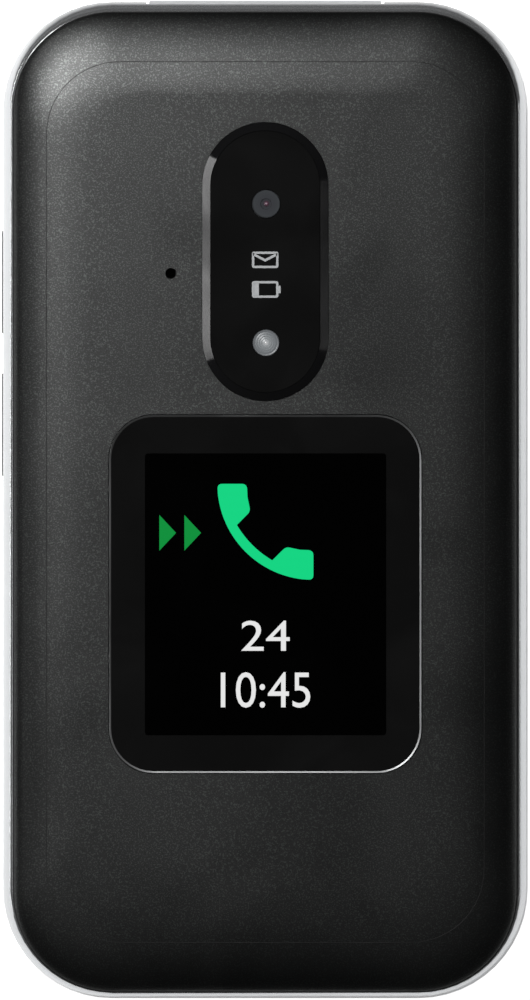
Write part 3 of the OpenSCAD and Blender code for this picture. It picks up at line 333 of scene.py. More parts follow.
def bump(nodes: Nodes, shader: Node, height: Socket, depth: float,
         strength: float = 1.0) -> None:
    """Feeds a height into the shader's normal.

    Args:
        nodes: the material's writer.
        shader: the Principled shader.
        height: a value that changes over the surface.
        depth: how deep the bumps are, in millimetres.
        strength: the share of the bump that shows.
    """
    node = nodes.add("ShaderNodeBump", {"Height": height, "Distance": depth * MM,
                                        "Strength": strength})
    nodes.plug(node.outputs["Normal"], shader, "Normal")


def toned(nodes: Nodes, grain: Node, colour: Colour,
          shade: float) -> Socket:
    """A colour that drifts slowly with the grain's tone, from its shade to itself."""
    drift = nodes.span(grain.outputs["Tone"], *TONE_LEVELS)
    return nodes.mix(drift, shaded(colour, shade), linear(*colour))


@dataclass(frozen=True)
class SpeckledPaint:
    """Charcoal soft-touch paint with fine flecks."""

    name: str
    dark: Colour = (6, 7, 7)
    light: Colour = (80, 82, 81)
    sparkle: float = 1.0
    scale: float = 6300.0
    roughness: float = 0.36
    handled: float = 0.03
    specular: float = 0.56
    flake_edge: float = 0.25
    texture_depth: float = 0.012

    def build(self, effects: Effects) -> Material:
        """Builds the paint: metallic flecks in a dark binder, over a fine texture.

        Args:
            effects: the shared shader groups.

        Returns:
            The material.
        """
        material, nodes, shader = new_material(self.name, Specular_IOR_Level=self.specular)
        speckle = nodes.group(effects.speckle, {"Scale": self.scale})
        marks = nodes.group(effects.handling)
        fleck = speckle.outputs["Fleck"]
        nodes.plug(nodes.mix(fleck, linear(*self.dark), linear(*self.light)), shader, "Base Color")
        rough = nodes.span(marks.outputs["Mark"], 0.0, 1.0, self.roughness + self.handled,
                           self.roughness - self.handled)
        nodes.plug(rough, shader, "Roughness")
        nodes.plug(nodes.span(fleck, 0.0, self.flake_edge, 0.0, self.sparkle), shader, "Metallic")
        bump(nodes, shader, speckle.outputs["Height"], self.texture_depth)
        return material


@dataclass(frozen=True)
class Grained:
    """A finish with a slow tone, a fine grain and handling marks."""

    name: str
    colour: Colour
    shade: float
    roughness: float
    wear: float
    grain_scale: float
    grain_depth: float

    def sockets(self) -> dict[str, float]:
        """Constant values of the shader's sockets."""
        return {}

    def build(self, effects: Effects) -> Material:
        """Builds the finish from its colour, its shaded colour and its grain.

        Args:
            effects: the shared shader groups.

        Returns:
            The material.
        """
        material, nodes, shader = new_material(self.name, **self.sockets())
        grain = nodes.group(effects.grain, {"Scale": self.grain_scale})
        marks = nodes.group(effects.handling)
        nodes.plug(toned(nodes, grain, self.colour, self.shade), shader, "Base Color")
        rough = nodes.span(marks.outputs["Mark"], 0.0, 1.0, self.roughness,
                           self.roughness + self.wear)
        nodes.plug(rough, shader, "Roughness")
        bump(nodes, shader, grain.outputs["Height"], self.grain_depth)
        return material


@dataclass(frozen=True)
class SilverPaint(Grained):
    """Pale silver paint on a moulded frame, part metallic."""

    colour: Colour = (226, 228, 230)
    shade: float = 0.99
    roughness: float = 0.17
    wear: float = 0.03
    grain_scale: float = 2500.0
    grain_depth: float = 0.003
    metallic: float = 0.9

    def sockets(self) -> dict[str, float]:
        """How metallic the paint is."""
        return {"Metallic": self.metallic}


@dataclass(frozen=True)
class MouldedPlastic(Grained):
    """Moulded plastic, with or without a glossy coat."""

    shade: float = 0.9
    roughness: float = 0.35
    wear: float = 0.09
    grain_scale: float = 2600.0
    grain_depth: float = 0.006
    coat: float = 0.0
    coat_roughness: float = 0.12

    def sockets(self) -> dict[str, float]:
        """The plastic's coat."""
        return {"Coat_Weight": self.coat, "Coat_Roughness": self.coat_roughness}


@dataclass(frozen=True)
class Metal(Grained):
    """Bare or plated metal."""

    shade: float = 0.84
    roughness: float = 0.3
    wear: float = 0.15
    grain_scale: float = 1800.0
    grain_depth: float = 0.003

    def sockets(self) -> dict[str, float]:
        """Metal all through."""
        return {"Metallic": 1.0}


@dataclass(frozen=True)
class DarkGlass:
    """Black glass or a switched-off display: polished, with faint smudges."""

    name: str
    colour: Colour = (15, 15, 15)
    roughness: float = 0.05
    specular: float = 0.5
    smudge_scale: float = 90.0
    smudge_tone: float = 1.3
    wear: float = 0.05

    def build(self, effects: Effects) -> Material:
        """Builds the glass, a touch paler and duller where it is smudged.

        Args:
            effects: the shared shader groups.

        Returns:
            The material.
        """
        material, nodes, shader = new_material(self.name, Specular_IOR_Level=self.specular)
        marks = nodes.group(effects.handling, {"Smudge Scale": self.smudge_scale})
        mark = marks.outputs["Mark"]
        colour = nodes.mix(mark, linear(*self.colour), shaded(self.colour, self.smudge_tone))
        nodes.plug(colour, shader, "Base Color")
        rough = nodes.span(mark, 0.0, 1.0, self.roughness, self.roughness + self.wear)
        nodes.plug(rough, shader, "Roughness")
        return material


@dataclass(frozen=True)
class LitSign:
    """A sign that a display lights, as an even glow behind fine pixel rows."""

    name: str
    colour: Colour
    strength: float = 1.0
    roughness: float = 0.2
    row_scale: float = 2600.0
    between_rows: float = 0.96

    def build(self, effects: Effects) -> Material:
        """Builds the glow: the colour, dimmed a little between pixel rows.

        Args:
            effects: the shared shader groups.

        Returns:
            The material.
        """
        material, nodes, shader = new_material(self.name, Roughness=self.roughness,
                                               Emission_Strength=self.strength)
        rows = nodes.add("ShaderNodeTexWave", {"Vector": nodes.place(), "Scale": self.row_scale,
                                               "Distortion": 0.0},
                         wave_type="BANDS", bands_direction="Y").outputs["Fac"]
        glow = nodes.mix(nodes.span(rows, 0.0, 0.5), shaded(self.colour, self.between_rows),
                         linear(*self.colour))
        nodes.plug(glow, shader, "Emission Color")
        shader.inputs["Base Color"].default_value = (0.0, 0.0, 0.0, 1.0)
        return material


@dataclass(frozen=True)
class PrintedInk:
    """Ink printed on a key or a panel, slightly uneven."""

    name: str
    colour: Colour
    roughness: float = 0.5
    grain_scale: float = 9000.0
    thin: float = 0.9
    thin_levels: Flat = (0.35, 0.6)
    wear: Flat = (0.05, 0.08)
    depth: float = 0.002

    def build(self, effects: Effects) -> Material:
        """Builds the ink with a fine uneven cover.

        Args:
            effects: the shared shader groups.

        Returns:
            The material.
        """
        material, nodes, shader = new_material(self.name)
        height = nodes.group(effects.grain, {"Scale": self.grain_scale}).outputs["Height"]
        colour = nodes.mix(nodes.span(height, *self.thin_levels), shaded(self.colour, self.thin),
                           linear(*self.colour))
        nodes.plug(colour, shader, "Base Color")
        smoother, rougher = self.wear
        rough = nodes.span(height, *TONE_LEVELS, self.roughness - smoother,
                           self.roughness + rougher)
        nodes.plug(rough, shader, "Roughness")
        bump(nodes, shader, height, self.depth)
        return material


@dataclass(frozen=True)
class LensWithPaintedGlint:
    """A small round lens whose colour ramps from its middle to its rim, with a painted highlight in
    its middle.
    """

    name: str
    centre: Flat
    radius: float
    glint_tones: tuple[tuple[float, Colour], ...]
    roughness: float = 0.12
    rim_wear: float = 0.1

    def build(self, effects: Effects) -> Material:
        """Builds the lens: a colour ramp over the distance from its axis, bright in the middle as a
        painted highlight.

        Args:
            effects: the shared shader groups.

        Returns:
            The material.
        """
        material, nodes, shader = new_material(self.name)
        place = nodes.place()
        offset = (-self.centre[0] / self.radius, -self.centre[1] / self.radius, 0.0)
        scale = 1 / (self.radius * MM)
        turned = nodes.add("ShaderNodeMapping", {"Vector": place, "Location": offset,
                                                 "Scale": (scale, scale, 0.0)}).outputs["Vector"]
        distance = nodes.add("ShaderNodeVectorMath", {0: turned},
                             operation="LENGTH").outputs["Value"]
        ramp = nodes.add("ShaderNodeValToRGB", {"Fac": distance})
        for _ in range(len(self.glint_tones) - 2):
            ramp.color_ramp.elements.new(0.5)
        for element, (share, tone) in zip(ramp.color_ramp.elements, self.glint_tones):
            element.position, element.color = share, linear(*tone)
        nodes.plug(ramp.outputs["Color"], shader, "Base Color")
        rough = nodes.span(distance, 0.0, 1.0, self.roughness, self.roughness + self.rim_wear)
        nodes.plug(rough, shader, "Roughness")
        return material


@dataclass(frozen=True)
class Laminate:
    """Circuit board laminate: solder mask over a woven core and copper tracks."""

    name: str = "board_laminate"
    colour: Colour = (18, 74, 44)
    shade: float = 0.85
    track: Colour = (30, 104, 62)
    track_scale: float = 260.0
    track_depth: float = 0.03
    coat: float = 0.4
    roughness: float = 0.45

    def build(self, effects: Effects) -> Material:
        """Builds the board: tracks from a brick pattern under a glossy mask.

        Args:
            effects: the shared shader groups.

        Returns:
            The material.
        """
        material, nodes, shader = new_material(self.name, Coat_Weight=self.coat,
                                               Roughness=self.roughness)
        tracks = nodes.add("ShaderNodeTexBrick", {
            "Vector": nodes.place(), "Scale": self.track_scale, "Mortar Size": 0.03,
            "Brick Width": 0.9, "Row Height": 0.3}).outputs["Fac"]
        base = toned(nodes, nodes.group(effects.grain), self.colour, self.shade)
        nodes.plug(nodes.mix(tracks, base, linear(*self.track)), shader, "Base Color")
        bump(nodes, shader, tracks, self.track_depth)
        return material


class Finishes:
    """All materials of the phone, built once and looked up by name."""

    def __init__(self) -> None:
        """Builds every finish."""
        effects = Effects()
        # The camera lens's ramp is centred a little off its axis, so that its painted highlight
        # sits up and to the right.
        lens = (0.13, 32.45)
        flash = (0.08, 17.2)
        finishes = {
            "cover": SpeckledPaint("cover_paint"),
            # Crease line: near-black, without flecks, as painted shade along the cover's crease.
            "crease": SpeckledPaint("crease_shade_paint", dark=(4, 4, 4), light=(8, 8, 8), sparkle=0.0,
                                    roughness=0.6),
            "frame": SilverPaint("frame_paint"),
            "deck": MouldedPlastic("deck_plastic", (212, 214, 216), 0.97, 0.36, coat=0.15),
            # Near-black plastic: the cover's seam bead, a painted shadow of the seam's gap; also
            # the rear cap's lip and the lid microphone.
            "gasket": MouldedPlastic("seam_shade_and_gasket", (14, 14, 15), 0.8, 0.7),
            "island": MouldedPlastic("island_plastic", (17, 17, 18), 0.85, 0.07, grain_depth=0.001),
            "key": MouldedPlastic("key_plastic", (24, 25, 26), 0.85, 0.38, grain_depth=0.004),
            "assist": MouldedPlastic("assist_plastic", (168, 24, 26), 0.85, 0.32, coat=0.3),
            "black": MouldedPlastic("black_plastic", (22, 22, 23), 0.8, 0.5),
            "rubber": MouldedPlastic("soft_rubber", (62, 64, 66), 0.85, 0.75, grain_depth=0.02),
            "mat": MouldedPlastic("keypad_silicone", (148, 150, 154), 0.9, 0.6, grain_depth=0.01),
            "battery": MouldedPlastic("battery_wrap", (48, 49, 53), 0.85, 0.4),
            "label": MouldedPlastic("battery_label", (190, 192, 194), 0.94, 0.5),
            "film": MouldedPlastic("flex_film", (186, 116, 34), 0.85, 0.35, coat=0.4),
            "glass": DarkGlass("window_glass"),
            "trim": Metal("window_trim", (196, 197, 198), roughness=0.4),
            "display": DarkGlass("display_off", (1, 1, 1), 0.06, 0.25),
            "mesh_wire": Metal("mesh_wire", (92, 94, 98), roughness=0.4),
            "satin": Metal("satin_metal", (186, 188, 192), roughness=0.32),
            "steel": Metal("steel", (172, 174, 178), roughness=0.28),
            "brass": Metal("gold_plate", (214, 172, 84), roughness=0.25),
            "laminate": Laminate(),
            "call_sign": LitSign("call_sign", (16, 215, 132)),
            "arrow_sign": LitSign("arrow_sign", (8, 145, 60)),
            "digits_sign": LitSign("digits_sign", (233, 233, 233)),
            "white_ink": PrintedInk("white_ink", (226, 228, 230)),
            "grey_ink": PrintedInk("grey_ink", (176, 178, 180)),
            "green_ink": PrintedInk("green_ink", (26, 176, 96)),
            "red_ink": PrintedInk("red_ink", (214, 44, 44)),
            # The pale and pink middles of these ramps are painted highlights, not the lenses' own
            # colour.
            "camera_lens": LensWithPaintedGlint("camera_lens", lens, 1.55, (
                (0.0, (168, 156, 164)), (0.05, (128, 106, 118)), (0.1, (86, 56, 70)),
                (0.17, (64, 50, 58)),
                (0.24, (56, 57, 61)), (0.9, (56, 59, 62)), (1.0, (38, 40, 42)))),
            "flash_lens": LensWithPaintedGlint("flash_lens", flash, 1.47, (
                (0.0, (214, 214, 212)), (0.12, (176, 178, 180)), (0.3, (142, 146, 148)),
                (0.7, (120, 124, 127)), (0.92, (104, 107, 110)), (1.0, (70, 72, 74))), 0.3),
        }
        self._made = {name: finish.build(effects) for name, finish in finishes.items()}

    def __getitem__(self, name: str) -> Material:
        """The material of that name."""
        return self._made[name]


# ---- Meshes --------------------------------------------------------------------------------------


@dataclass(frozen=True)
class Plan:
    """A rounded rectangle seen from above."""

    width: float
    length: float
    radius: float
    x: float = 0.0
    y: float = 0.0

    def grown(self, by: float) -> "Plan":
        """The same plan, larger all round."""
        return replace(self, width=self.width + 2 * by, length=self.length + 2 * by,
                       radius=max(self.radius + by, 0.01))

    def ring(self, z: float, corner_steps: int = 14, side_steps: int = 1) -> list[Point]:
        """Points round the plan, anticlockwise from above, with one close to each corner's ends.

        Args:
            z: their height.
            corner_steps: steps in each corner.
            side_steps: steps in each straight side.

        Returns:
            The points, as many for every plan.
        """
        corners = []
        spare = min(self.width, self.length) - 2 * self.radius
        guard = max(min(CORNER_GUARD, spare / 4), 0.0)
        for corner, (side, end) in enumerate(((1, 1), (-1, 1), (-1, -1), (1, -1))):
            cx = self.x + side * (self.width / 2 - self.radius)
            cy = self.y + end * (self.length / 2 - self.radius)
            angles = [math.radians(90 * (corner + i / corner_steps))
                      for i in range(corner_steps + 1)]
            arc = [(cx + self.radius * math.cos(a), cy + self.radius * math.sin(a)) for a in angles]
            first, last = angles[0], angles[-1]
            before = (arc[0][0] + guard * math.sin(first), arc[0][1] - guard * math.cos(first))
            after = (arc[-1][0] - guard * math.sin(last), arc[-1][1] + guard * math.cos(last))
            corners.append([before, *arc, after])
        points: list[Point] = []
        for corner, following in zip(corners, corners[1:] + corners[:1]):
            start, stop = corner[-1], following[0]
            points += [(x, y, z) for x, y in corner]
            points += [(start[0] + (stop[0] - start[0]) * i / side_steps,
                        start[1] + (stop[1] - start[1]) * i / side_steps, z)
                       for i in range(1, side_steps)]
        return points


def circle(x: float, y: float, radius: float, z: float, steps: int = 48) -> list[Point]:
    """Points of a circle, anticlockwise from above."""
    return [(x + radius * math.cos(math.tau * i / steps),
             y + radius * math.sin(math.tau * i / steps), z)
            for i in range(steps)]


class Shape:
    """A mesh in the making, in millimetres."""

    def __init__(self) -> None:
        """Starts empty."""
        self.bm = bmesh.new()

    def verts(self, points: Iterable[Sequence[float]]) -> list[bmesh.types.BMVert]:
        """Adds points and returns their vertices."""
        return [self.bm.verts.new(p) for p in points]

    def band(self, lower: Loop, upper: Loop) -> None:
        """Joins two rings of as many vertices with faces that look outwards when upper is above.

        Args:
            lower: the lower ring, anticlockwise from above.
            upper: the upper ring.
        """
        count = len(lower)
        for i in range(count):
            j = (i + 1) % count
            self.bm.faces.new((lower[i], lower[j], upper[j], upper[i]))

    def stack(self, rings: Sequence[Loop], inwards: bool = False) -> None:
        """Joins rings of as many vertices into a wall.

        Args:
            rings: the rings, lowest first.
            inwards: whether the wall looks inwards, as round a hole.
        """
        made = [list(reversed(ring)) for ring in rings] if inwards else rings
        for lower, upper in zip(made, made[1:]):
            self.band(lower, upper)

    def loft(self, rings: Sequence[Sequence[Point]], close: bool = False) -> "Shape":
        """Adds a closed solid through rings, lowest first.

        Args:
            rings: rings of as many points each, anticlockwise from above.
            close: joins the last ring to the first, as in a frame, and adds no caps.

        Returns:
            The shape itself.
        """
        made = [self.verts(ring) for ring in rings]
        self.stack(made)
        if close:
            self.band(made[-1], made[0])
        else:
            self.bm.faces.new(list(reversed(made[0])))
            self.bm.faces.new(made[-1])
        return self

    def lathe(self, x: float, y: float, profile: Sequence[tuple[float, float]], steps: int = 72,
              close: bool = False) -> "Shape":
        """Adds a turned solid on an upright axis.

        Args:
            x: the axis, across.
            y: the axis, along.
            profile: (radius, height) pairs, walked up the outside.
            steps: faces round the axis.
            close: joins the profile's ends, for a ring with a hole.

        Returns:
            The shape itself.
        """
        return self.loft([circle(x, y, radius, z, steps) for radius, z in profile], close)

    def prism(self, points: Sequence[tuple[float, float]], low: float, high: float) -> "Shape":
        """Adds an upright prism.

        Args:
            points: its flat outline, anticlockwise.
            low: the height of its foot.
            high: the height of its top.

        Returns:
            The shape itself.
        """
        bottom = self.verts((x, y, low) for x, y in points)
        top = self.verts((x, y, high) for x, y in points)
        self.band(bottom, top)
        self.bm.faces.new(list(reversed(bottom)))
        self.bm.faces.new(top)
        return self

    def sheet_with_holes(self, loops: Sequence[Loop], up: bool) -> list[bmesh.types.BMFace]:
        """Fills the flat region between an outer loop and the loops inside it.

        Args:
            loops: closed loops of existing vertices, the outer one first.
            up: whether the faces look up.

        Returns:
            The new faces.
        """
        edges = []
        for loop in loops:
            for a, b in zip(loop, list(loop[1:]) + [loop[0]]):
                edges.append(self.bm.edges.get((a, b)) or self.bm.edges.new((a, b)))
        made = bmesh.ops.triangle_fill(self.bm, edges=edges, use_beauty=True)["geom"]
        faces = [f for f in made if isinstance(f, bmesh.types.BMFace)]
        for face in faces:
            face.normal_update()
            if (face.normal.z > 0) != up:
                face.normal_flip()
        return faces

    def as_object(self, name: str, material: Material, crease: float = 35.0,
                  flat_edge: float = 180.0) -> Piece:
        """Makes the object: metres, smooth faces and sharp edges where the shape folds.

        Args:
            name: the piece's name.
            material: its finish.
            crease: the angle in degrees from which an edge stays sharp.
            flat_edge: the angle from which the edge of a level face stays sharp.

        Returns:
            The object, at the origin.
        """
        self.bm.normal_update()
        for face in self.bm.faces:
            face.smooth = True
        for edge in self.bm.edges:
            if len(edge.link_faces) == 2:
                level = any(abs(face.normal.z) > 0.9999 for face in edge.link_faces)
                limit = min(crease, flat_edge) if level else crease
                edge.smooth = edge.calc_face_angle(0.0) <= math.radians(limit)
        self.bm.transform(Matrix.Scale(MM, 4))
        mesh = bpy.data.meshes.new(name)
        self.bm.to_mesh(mesh)
        self.bm.free()
        mesh.materials.append(material)
        obj = bpy.data.objects.new(name, mesh)
        bpy.context.scene.collection.objects.link(obj)
        obj.modifiers.new("even_normals", "WEIGHTED_NORMAL").keep_sharp = True
        return obj


def settle(obj: Piece, body: Body | str, slot: Slot, *nodes: str) -> Piece:
    """Puts a finished piece on its body, in place of CAD nodes where it has any.

    Args:
        obj: the piece.
        body: the body it rides on.
        slot: a material slot name; not used.
        nodes: the CAD nodes that it stands for.

    Returns:
        The piece.
    """
    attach(obj, body.value if isinstance(body, Body) else body)
    if nodes:
        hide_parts(*nodes)
    return obj


def smoothed_node(node: str, name: str, material: Material, body: Body, slot: Slot,
                  crease: float = 28.0, flat_edge: float = 180.0) -> Piece:
    """Stands a merged, smooth-shaded copy of a CAD node in its place.

    Args:
        node: the CAD node.
        name: the piece's name.
        material: its finish.
        body: the body it rides on.
        slot: a material slot name, handed on to settle.
        crease: the angle in degrees from which an edge stays sharp.
        flat_edge: the angle from which the edge of a level face stays sharp.

    Returns:
        The piece.
    """
    shape = Shape()
    shape.bm.from_mesh(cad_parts[node].data)
    bmesh.ops.remove_doubles(shape.bm, verts=shape.bm.verts, dist=MERGE_METRES)
    bmesh.ops.dissolve_degenerate(shape.bm, edges=shape.bm.edges, dist=SLIVER_METRES)
    shape.bm.transform(Matrix.Scale(1 / MM, 4))
    obj = shape.as_object(name, material, crease, flat_edge)
    return settle(obj, body, slot, node)


def letters(text: str, name: str, material: Material, place: Point, height: float,
            width: float | None = None, facing: Facing = Facing.UP) -> Piece:
    """Makes a line of digits as a thin raised mesh.

    Args:
        text: the digits.
        name: the piece's name.
        material: its ink or glow.
        place: the middle of the line and the height of its top face.
        height: the height of a digit.
        width: the width of the line, or None to keep the font's.
        facing: whether it reads from above or from below.

    Returns:
        The object, not yet on a body.
    """
    curve = bpy.data.curves.new(name, "FONT")
    curve.body, curve.extrude, curve.resolution_u = text, 0.01, 4
    source = bpy.data.objects.new(name + "_source", curve)
    bpy.context.scene.collection.objects.link(source)
    bpy.context.view_layer.update()
    graph = bpy.context.evaluated_depsgraph_get()
    mesh = bpy.data.meshes.new_from_object(source.evaluated_get(graph))
    bpy.data.objects.remove(source)
    shape = Shape()
    shape.bm.from_mesh(mesh)
    bpy.data.meshes.remove(mesh)
    bmesh.ops.remove_doubles(shape.bm, verts=shape.bm.verts, dist=1e-5)
    low = [min(v.co[i] for v in shape.bm.verts) for i in range(3)]
    high = [max(v.co[i] for v in shape.bm.verts) for i in range(3)]
    tall = height / (high[1] - low[1])
    wide = tall if width is None else width / (high[0] - low[0])
    thin = LETTER_THICKNESS / (high[2] - low[2])
    for v in shape.bm.verts:
        v.co.x = place[0] + (v.co.x - (low[0] + high[0]) / 2) * wide
        v.co.y = place[1] + facing.value * (v.co.y - (low[1] + high[1]) / 2) * tall
        v.co.z = place[2] - facing.value * (high[2] - v.co.z) * thin
    return shape.as_object(name, material, 20.0)


def rounded(points: Sequence[Point], steps: int = 5) -> list[Flat]:
    """Rounds the corners of a polygon.

    Args:
        points: (x, y, corner radius), anticlockwise.
        steps: steps in each rounded corner.

    Returns:
        The outline with its corners rounded.
    """
    outline: list[Flat] = []
    count = len(points)
    for i, (x, y, radius) in enumerate(points):
        here = Vector((x, y))
        back = (Vector(points[i - 1][:2]) - here)
        ahead = (Vector(points[(i + 1) % count][:2]) - here)
        cut = min(radius, back.length * 0.49, ahead.length * 0.49)
        if cut <= 1e-6:
            outline.append((x, y))
            continue
        start, stop = here + back.normalized() * cut, here + ahead.normalized() * cut
        for k in range(steps + 1):
            t = k / steps
            spot = start * (1 - t) ** 2 + here * 2 * t * (1 - t) + stop * t ** 2
            outline.append((spot.x, spot.y))
    return outline


def handset(size: float) -> list[Flat]:
    """Outline of a telephone handset as a sign, anticlockwise, inside a square of that size.

    Args:
        size: the side of the square round the sign.

    Returns:
        The outline, with the square's middle at the origin.
    """
    half = [(0.308, 1.0, 0.055), (0.0, 1.0, 0.055)]
    tip = [(0.2035, 0.5715, 0.0), (0.3445, 0.7145, 0.04), (0.314, 0.86, 0.0)]
    back = [(1 - math.cos(a), 1 - math.sin(a), 0.0) for a in map(math.radians, range(6, 85, 3))]
    inner = [(1.096 - 1.035 * math.cos(a), 1.096 - 1.035 * math.sin(a), 0.0)
             for a in map(math.radians, range(57, 32, -3))]
    path = half + back + [(y, x, r) for x, y, r in reversed(half)]
    path += [(y, x, r) for x, y, r in reversed(tip)] + inner + tip
    return [((x - 0.5) * size, (y - 0.5) * size) for x, y in rounded(path)]


# ---- Pieces that repeat or follow a path ---------------------------------------------------------


class Generators:
    """Geometry Nodes trees, each built once, and the way to make plain pieces with them."""

    corner_count: int = 16
    outline_step: float = 0.0006
    bead_sides: int = 8
    wire_sides: int = 6
    dot_sides: int = 20
    head_sides: int = 32
    shank_sides: int = 20
    recess_length: float = 1.3
    recess_width: float = 0.28

    def __init__(self) -> None:
        """Builds the trees."""
        self.bead = self._bead()
        self.wire_mesh = self._wire_mesh()
        self.row = self._row()
        self.circle_of_dots = self._circle_of_dots()
        self.screw_heads = self._screw_heads()

    def _bead(self) -> Tree:
        """A round bead along a rounded rectangle.

        Returns:
            The tree.
        """
        tree, nodes, inputs, out = new_group("bead_on_outline", "GeometryNodeTree", {
            "Width": ("NodeSocketFloat", 0.01), "Length": ("NodeSocketFloat", 0.02),
            "Corner": ("NodeSocketFloat", 0.002), "Place": ("NodeSocketVector", None),
            "Bead": ("NodeSocketFloat", 0.0001), "Drop": ("NodeSocketFloat", 0.0),
            "Material": ("NodeSocketMaterial", None)}, {"Geometry": "NodeSocketGeometry"})
        outline = nodes.add("GeometryNodeCurvePrimitiveQuadrilateral",
                            {"Width": inputs["Width"], "Height": inputs["Length"]},
                            mode="RECTANGLE")
        fillet = nodes.add("GeometryNodeFilletCurve", {"Curve": outline.outputs[0],
                                                       "Count": self.corner_count,
                                                       "Radius": inputs["Corner"]}, mode="POLY")
        even = nodes.add("GeometryNodeResampleCurve", {"Curve": fillet.outputs[0],
                                                       "Length": self.outline_step},
                         mode="LENGTH")
        place = nodes.add("GeometryNodeInputPosition").outputs[0]
        across = nodes.add("ShaderNodeSeparateXYZ", {0: place}).outputs["X"]
        square = nodes.math("POWER", nodes.math("ABSOLUTE", across), 2.0)
        down = nodes.math("MULTIPLY", inputs["Drop"], -1.0)
        sag = nodes.add("ShaderNodeCombineXYZ", {2: nodes.math("MULTIPLY", square, down)})
        bent = nodes.add("GeometryNodeSetPosition", {"Geometry": even.outputs[0],
                                                     "Offset": sag.outputs[0]})
        moved = self._moved(nodes, bent.outputs[0], inputs["Place"])
        section = nodes.add("GeometryNodeCurvePrimitiveCircle", {"Resolution": self.bead_sides,
                                                                 "Radius": inputs["Bead"]})
        tube = nodes.add("GeometryNodeCurveToMesh", {"Curve": moved,
                                                     "Profile Curve": section.outputs["Curve"]})
        self._end(nodes, tube.outputs[0], inputs["Material"], out)
        return tree

    def _wire_mesh(self) -> Tree:
        """A woven wire mesh: wires both ways at one pitch.

        Returns:
            The tree.
        """
        tree, nodes, inputs, out = new_group("woven_wires", "GeometryNodeTree", {
            "Width": ("NodeSocketFloat", 0.01), "Length": ("NodeSocketFloat", 0.005),
            "Pitch": ("NodeSocketFloat", 0.0004), "Wire": ("NodeSocketFloat", 0.0001),
            "Place": ("NodeSocketVector", None), "Material": ("NodeSocketMaterial", None)},
            {"Geometry": "NodeSocketGeometry"})
        quarter_turn = math.pi / 2
        sets = []
        for across, along, turn, lift in (
                ("Width", "Length", (quarter_turn, 0.0, 0.0), 0.5),
                ("Length", "Width", (0.0, quarter_turn, 0.0), -0.5)):
            count = nodes.math("FLOOR", nodes.math("DIVIDE", inputs[across], inputs["Pitch"]))
            steps = nodes.math("MULTIPLY", nodes.math("SUBTRACT", count, 1.0), -0.5)
            first = nodes.math("MULTIPLY", steps, inputs["Pitch"])
            height = nodes.math("MULTIPLY", inputs["Wire"], lift)
            axis = 0 if across == "Width" else 1
            start = nodes.add("ShaderNodeCombineXYZ", {axis: first, 2: height})
            step = nodes.add("ShaderNodeCombineXYZ", {axis: inputs["Pitch"]})
            line = nodes.add("GeometryNodeMeshLine",
                             {"Count": count, "Start Location": start.outputs[0],
                              "Offset": step.outputs[0]}, mode="OFFSET")
            radius = nodes.math("MULTIPLY", inputs["Wire"], 0.5)
            wire = nodes.add("GeometryNodeMeshCylinder", {"Vertices": self.wire_sides,
                                                          "Radius": radius,
                                                          "Depth": inputs[along]})
            laid = nodes.add("GeometryNodeTransform", {"Geometry": wire.outputs["Mesh"],
                                                       "Rotation": turn})
            sets.append(self._repeated(nodes, line.outputs[0], laid.outputs[0]))
        joined = nodes.add("GeometryNodeJoinGeometry")
        for wires in sets:
            nodes.plug(wires, joined, 0)
        moved = self._moved(nodes, joined.outputs[0], inputs["Place"])
        self._end(nodes, moved, inputs["Material"], out)
        return tree

    def _row(self) -> Tree:
        """A row of equal bars, such as contacts.

        Returns:
            The tree.
        """
        tree, nodes, inputs, out = new_group("row_of_bars", "GeometryNodeTree", {
            "Count": ("NodeSocketInt", 4), "First": ("NodeSocketVector", None),
            "Step": ("NodeSocketVector", None), "Bar": ("NodeSocketVector", None),
            "Material": ("NodeSocketMaterial", None)}, {"Geometry": "NodeSocketGeometry"})
        line = nodes.add("GeometryNodeMeshLine", {"Count": inputs["Count"],
                                                  "Start Location": inputs["First"],
                                                  "Offset": inputs["Step"]}, mode="OFFSET")
        bar = nodes.add("GeometryNodeMeshCube", {"Size": inputs["Bar"]})
        placed = self._repeated(nodes, line.outputs[0], bar.outputs["Mesh"])
        self._end(nodes, placed, inputs["Material"], out)
        return tree

    def _circle_of_dots(self) -> Tree:
        """Round dots evenly on a circle.

        Returns:
            The tree.
        """
        tree, nodes, inputs, out = new_group("dots_on_circle", "GeometryNodeTree", {
            "Count": ("NodeSocketInt", 4), "Radius": ("NodeSocketFloat", 0.005),
            "Dot": ("NodeSocketFloat", 0.0003), "Thickness": ("NodeSocketFloat", 0.00002),
            "Place": ("NodeSocketVector", None), "Material": ("NodeSocketMaterial", None)},
            {"Geometry": "NodeSocketGeometry"})
        ring = nodes.add("GeometryNodeMeshCircle", {"Vertices": inputs["Count"],
                                                    "Radius": inputs["Radius"]})
        dot = nodes.add("GeometryNodeMeshCylinder", {"Vertices": self.dot_sides,
                                                     "Radius": inputs["Dot"],
                                                     "Depth": inputs["Thickness"]})
        placed = self._repeated(nodes, ring.outputs[0], dot.outputs["Mesh"])
        moved = self._moved(nodes, placed, inputs["Place"])
        self._end(nodes, moved, inputs["Material"], out)
        return tree

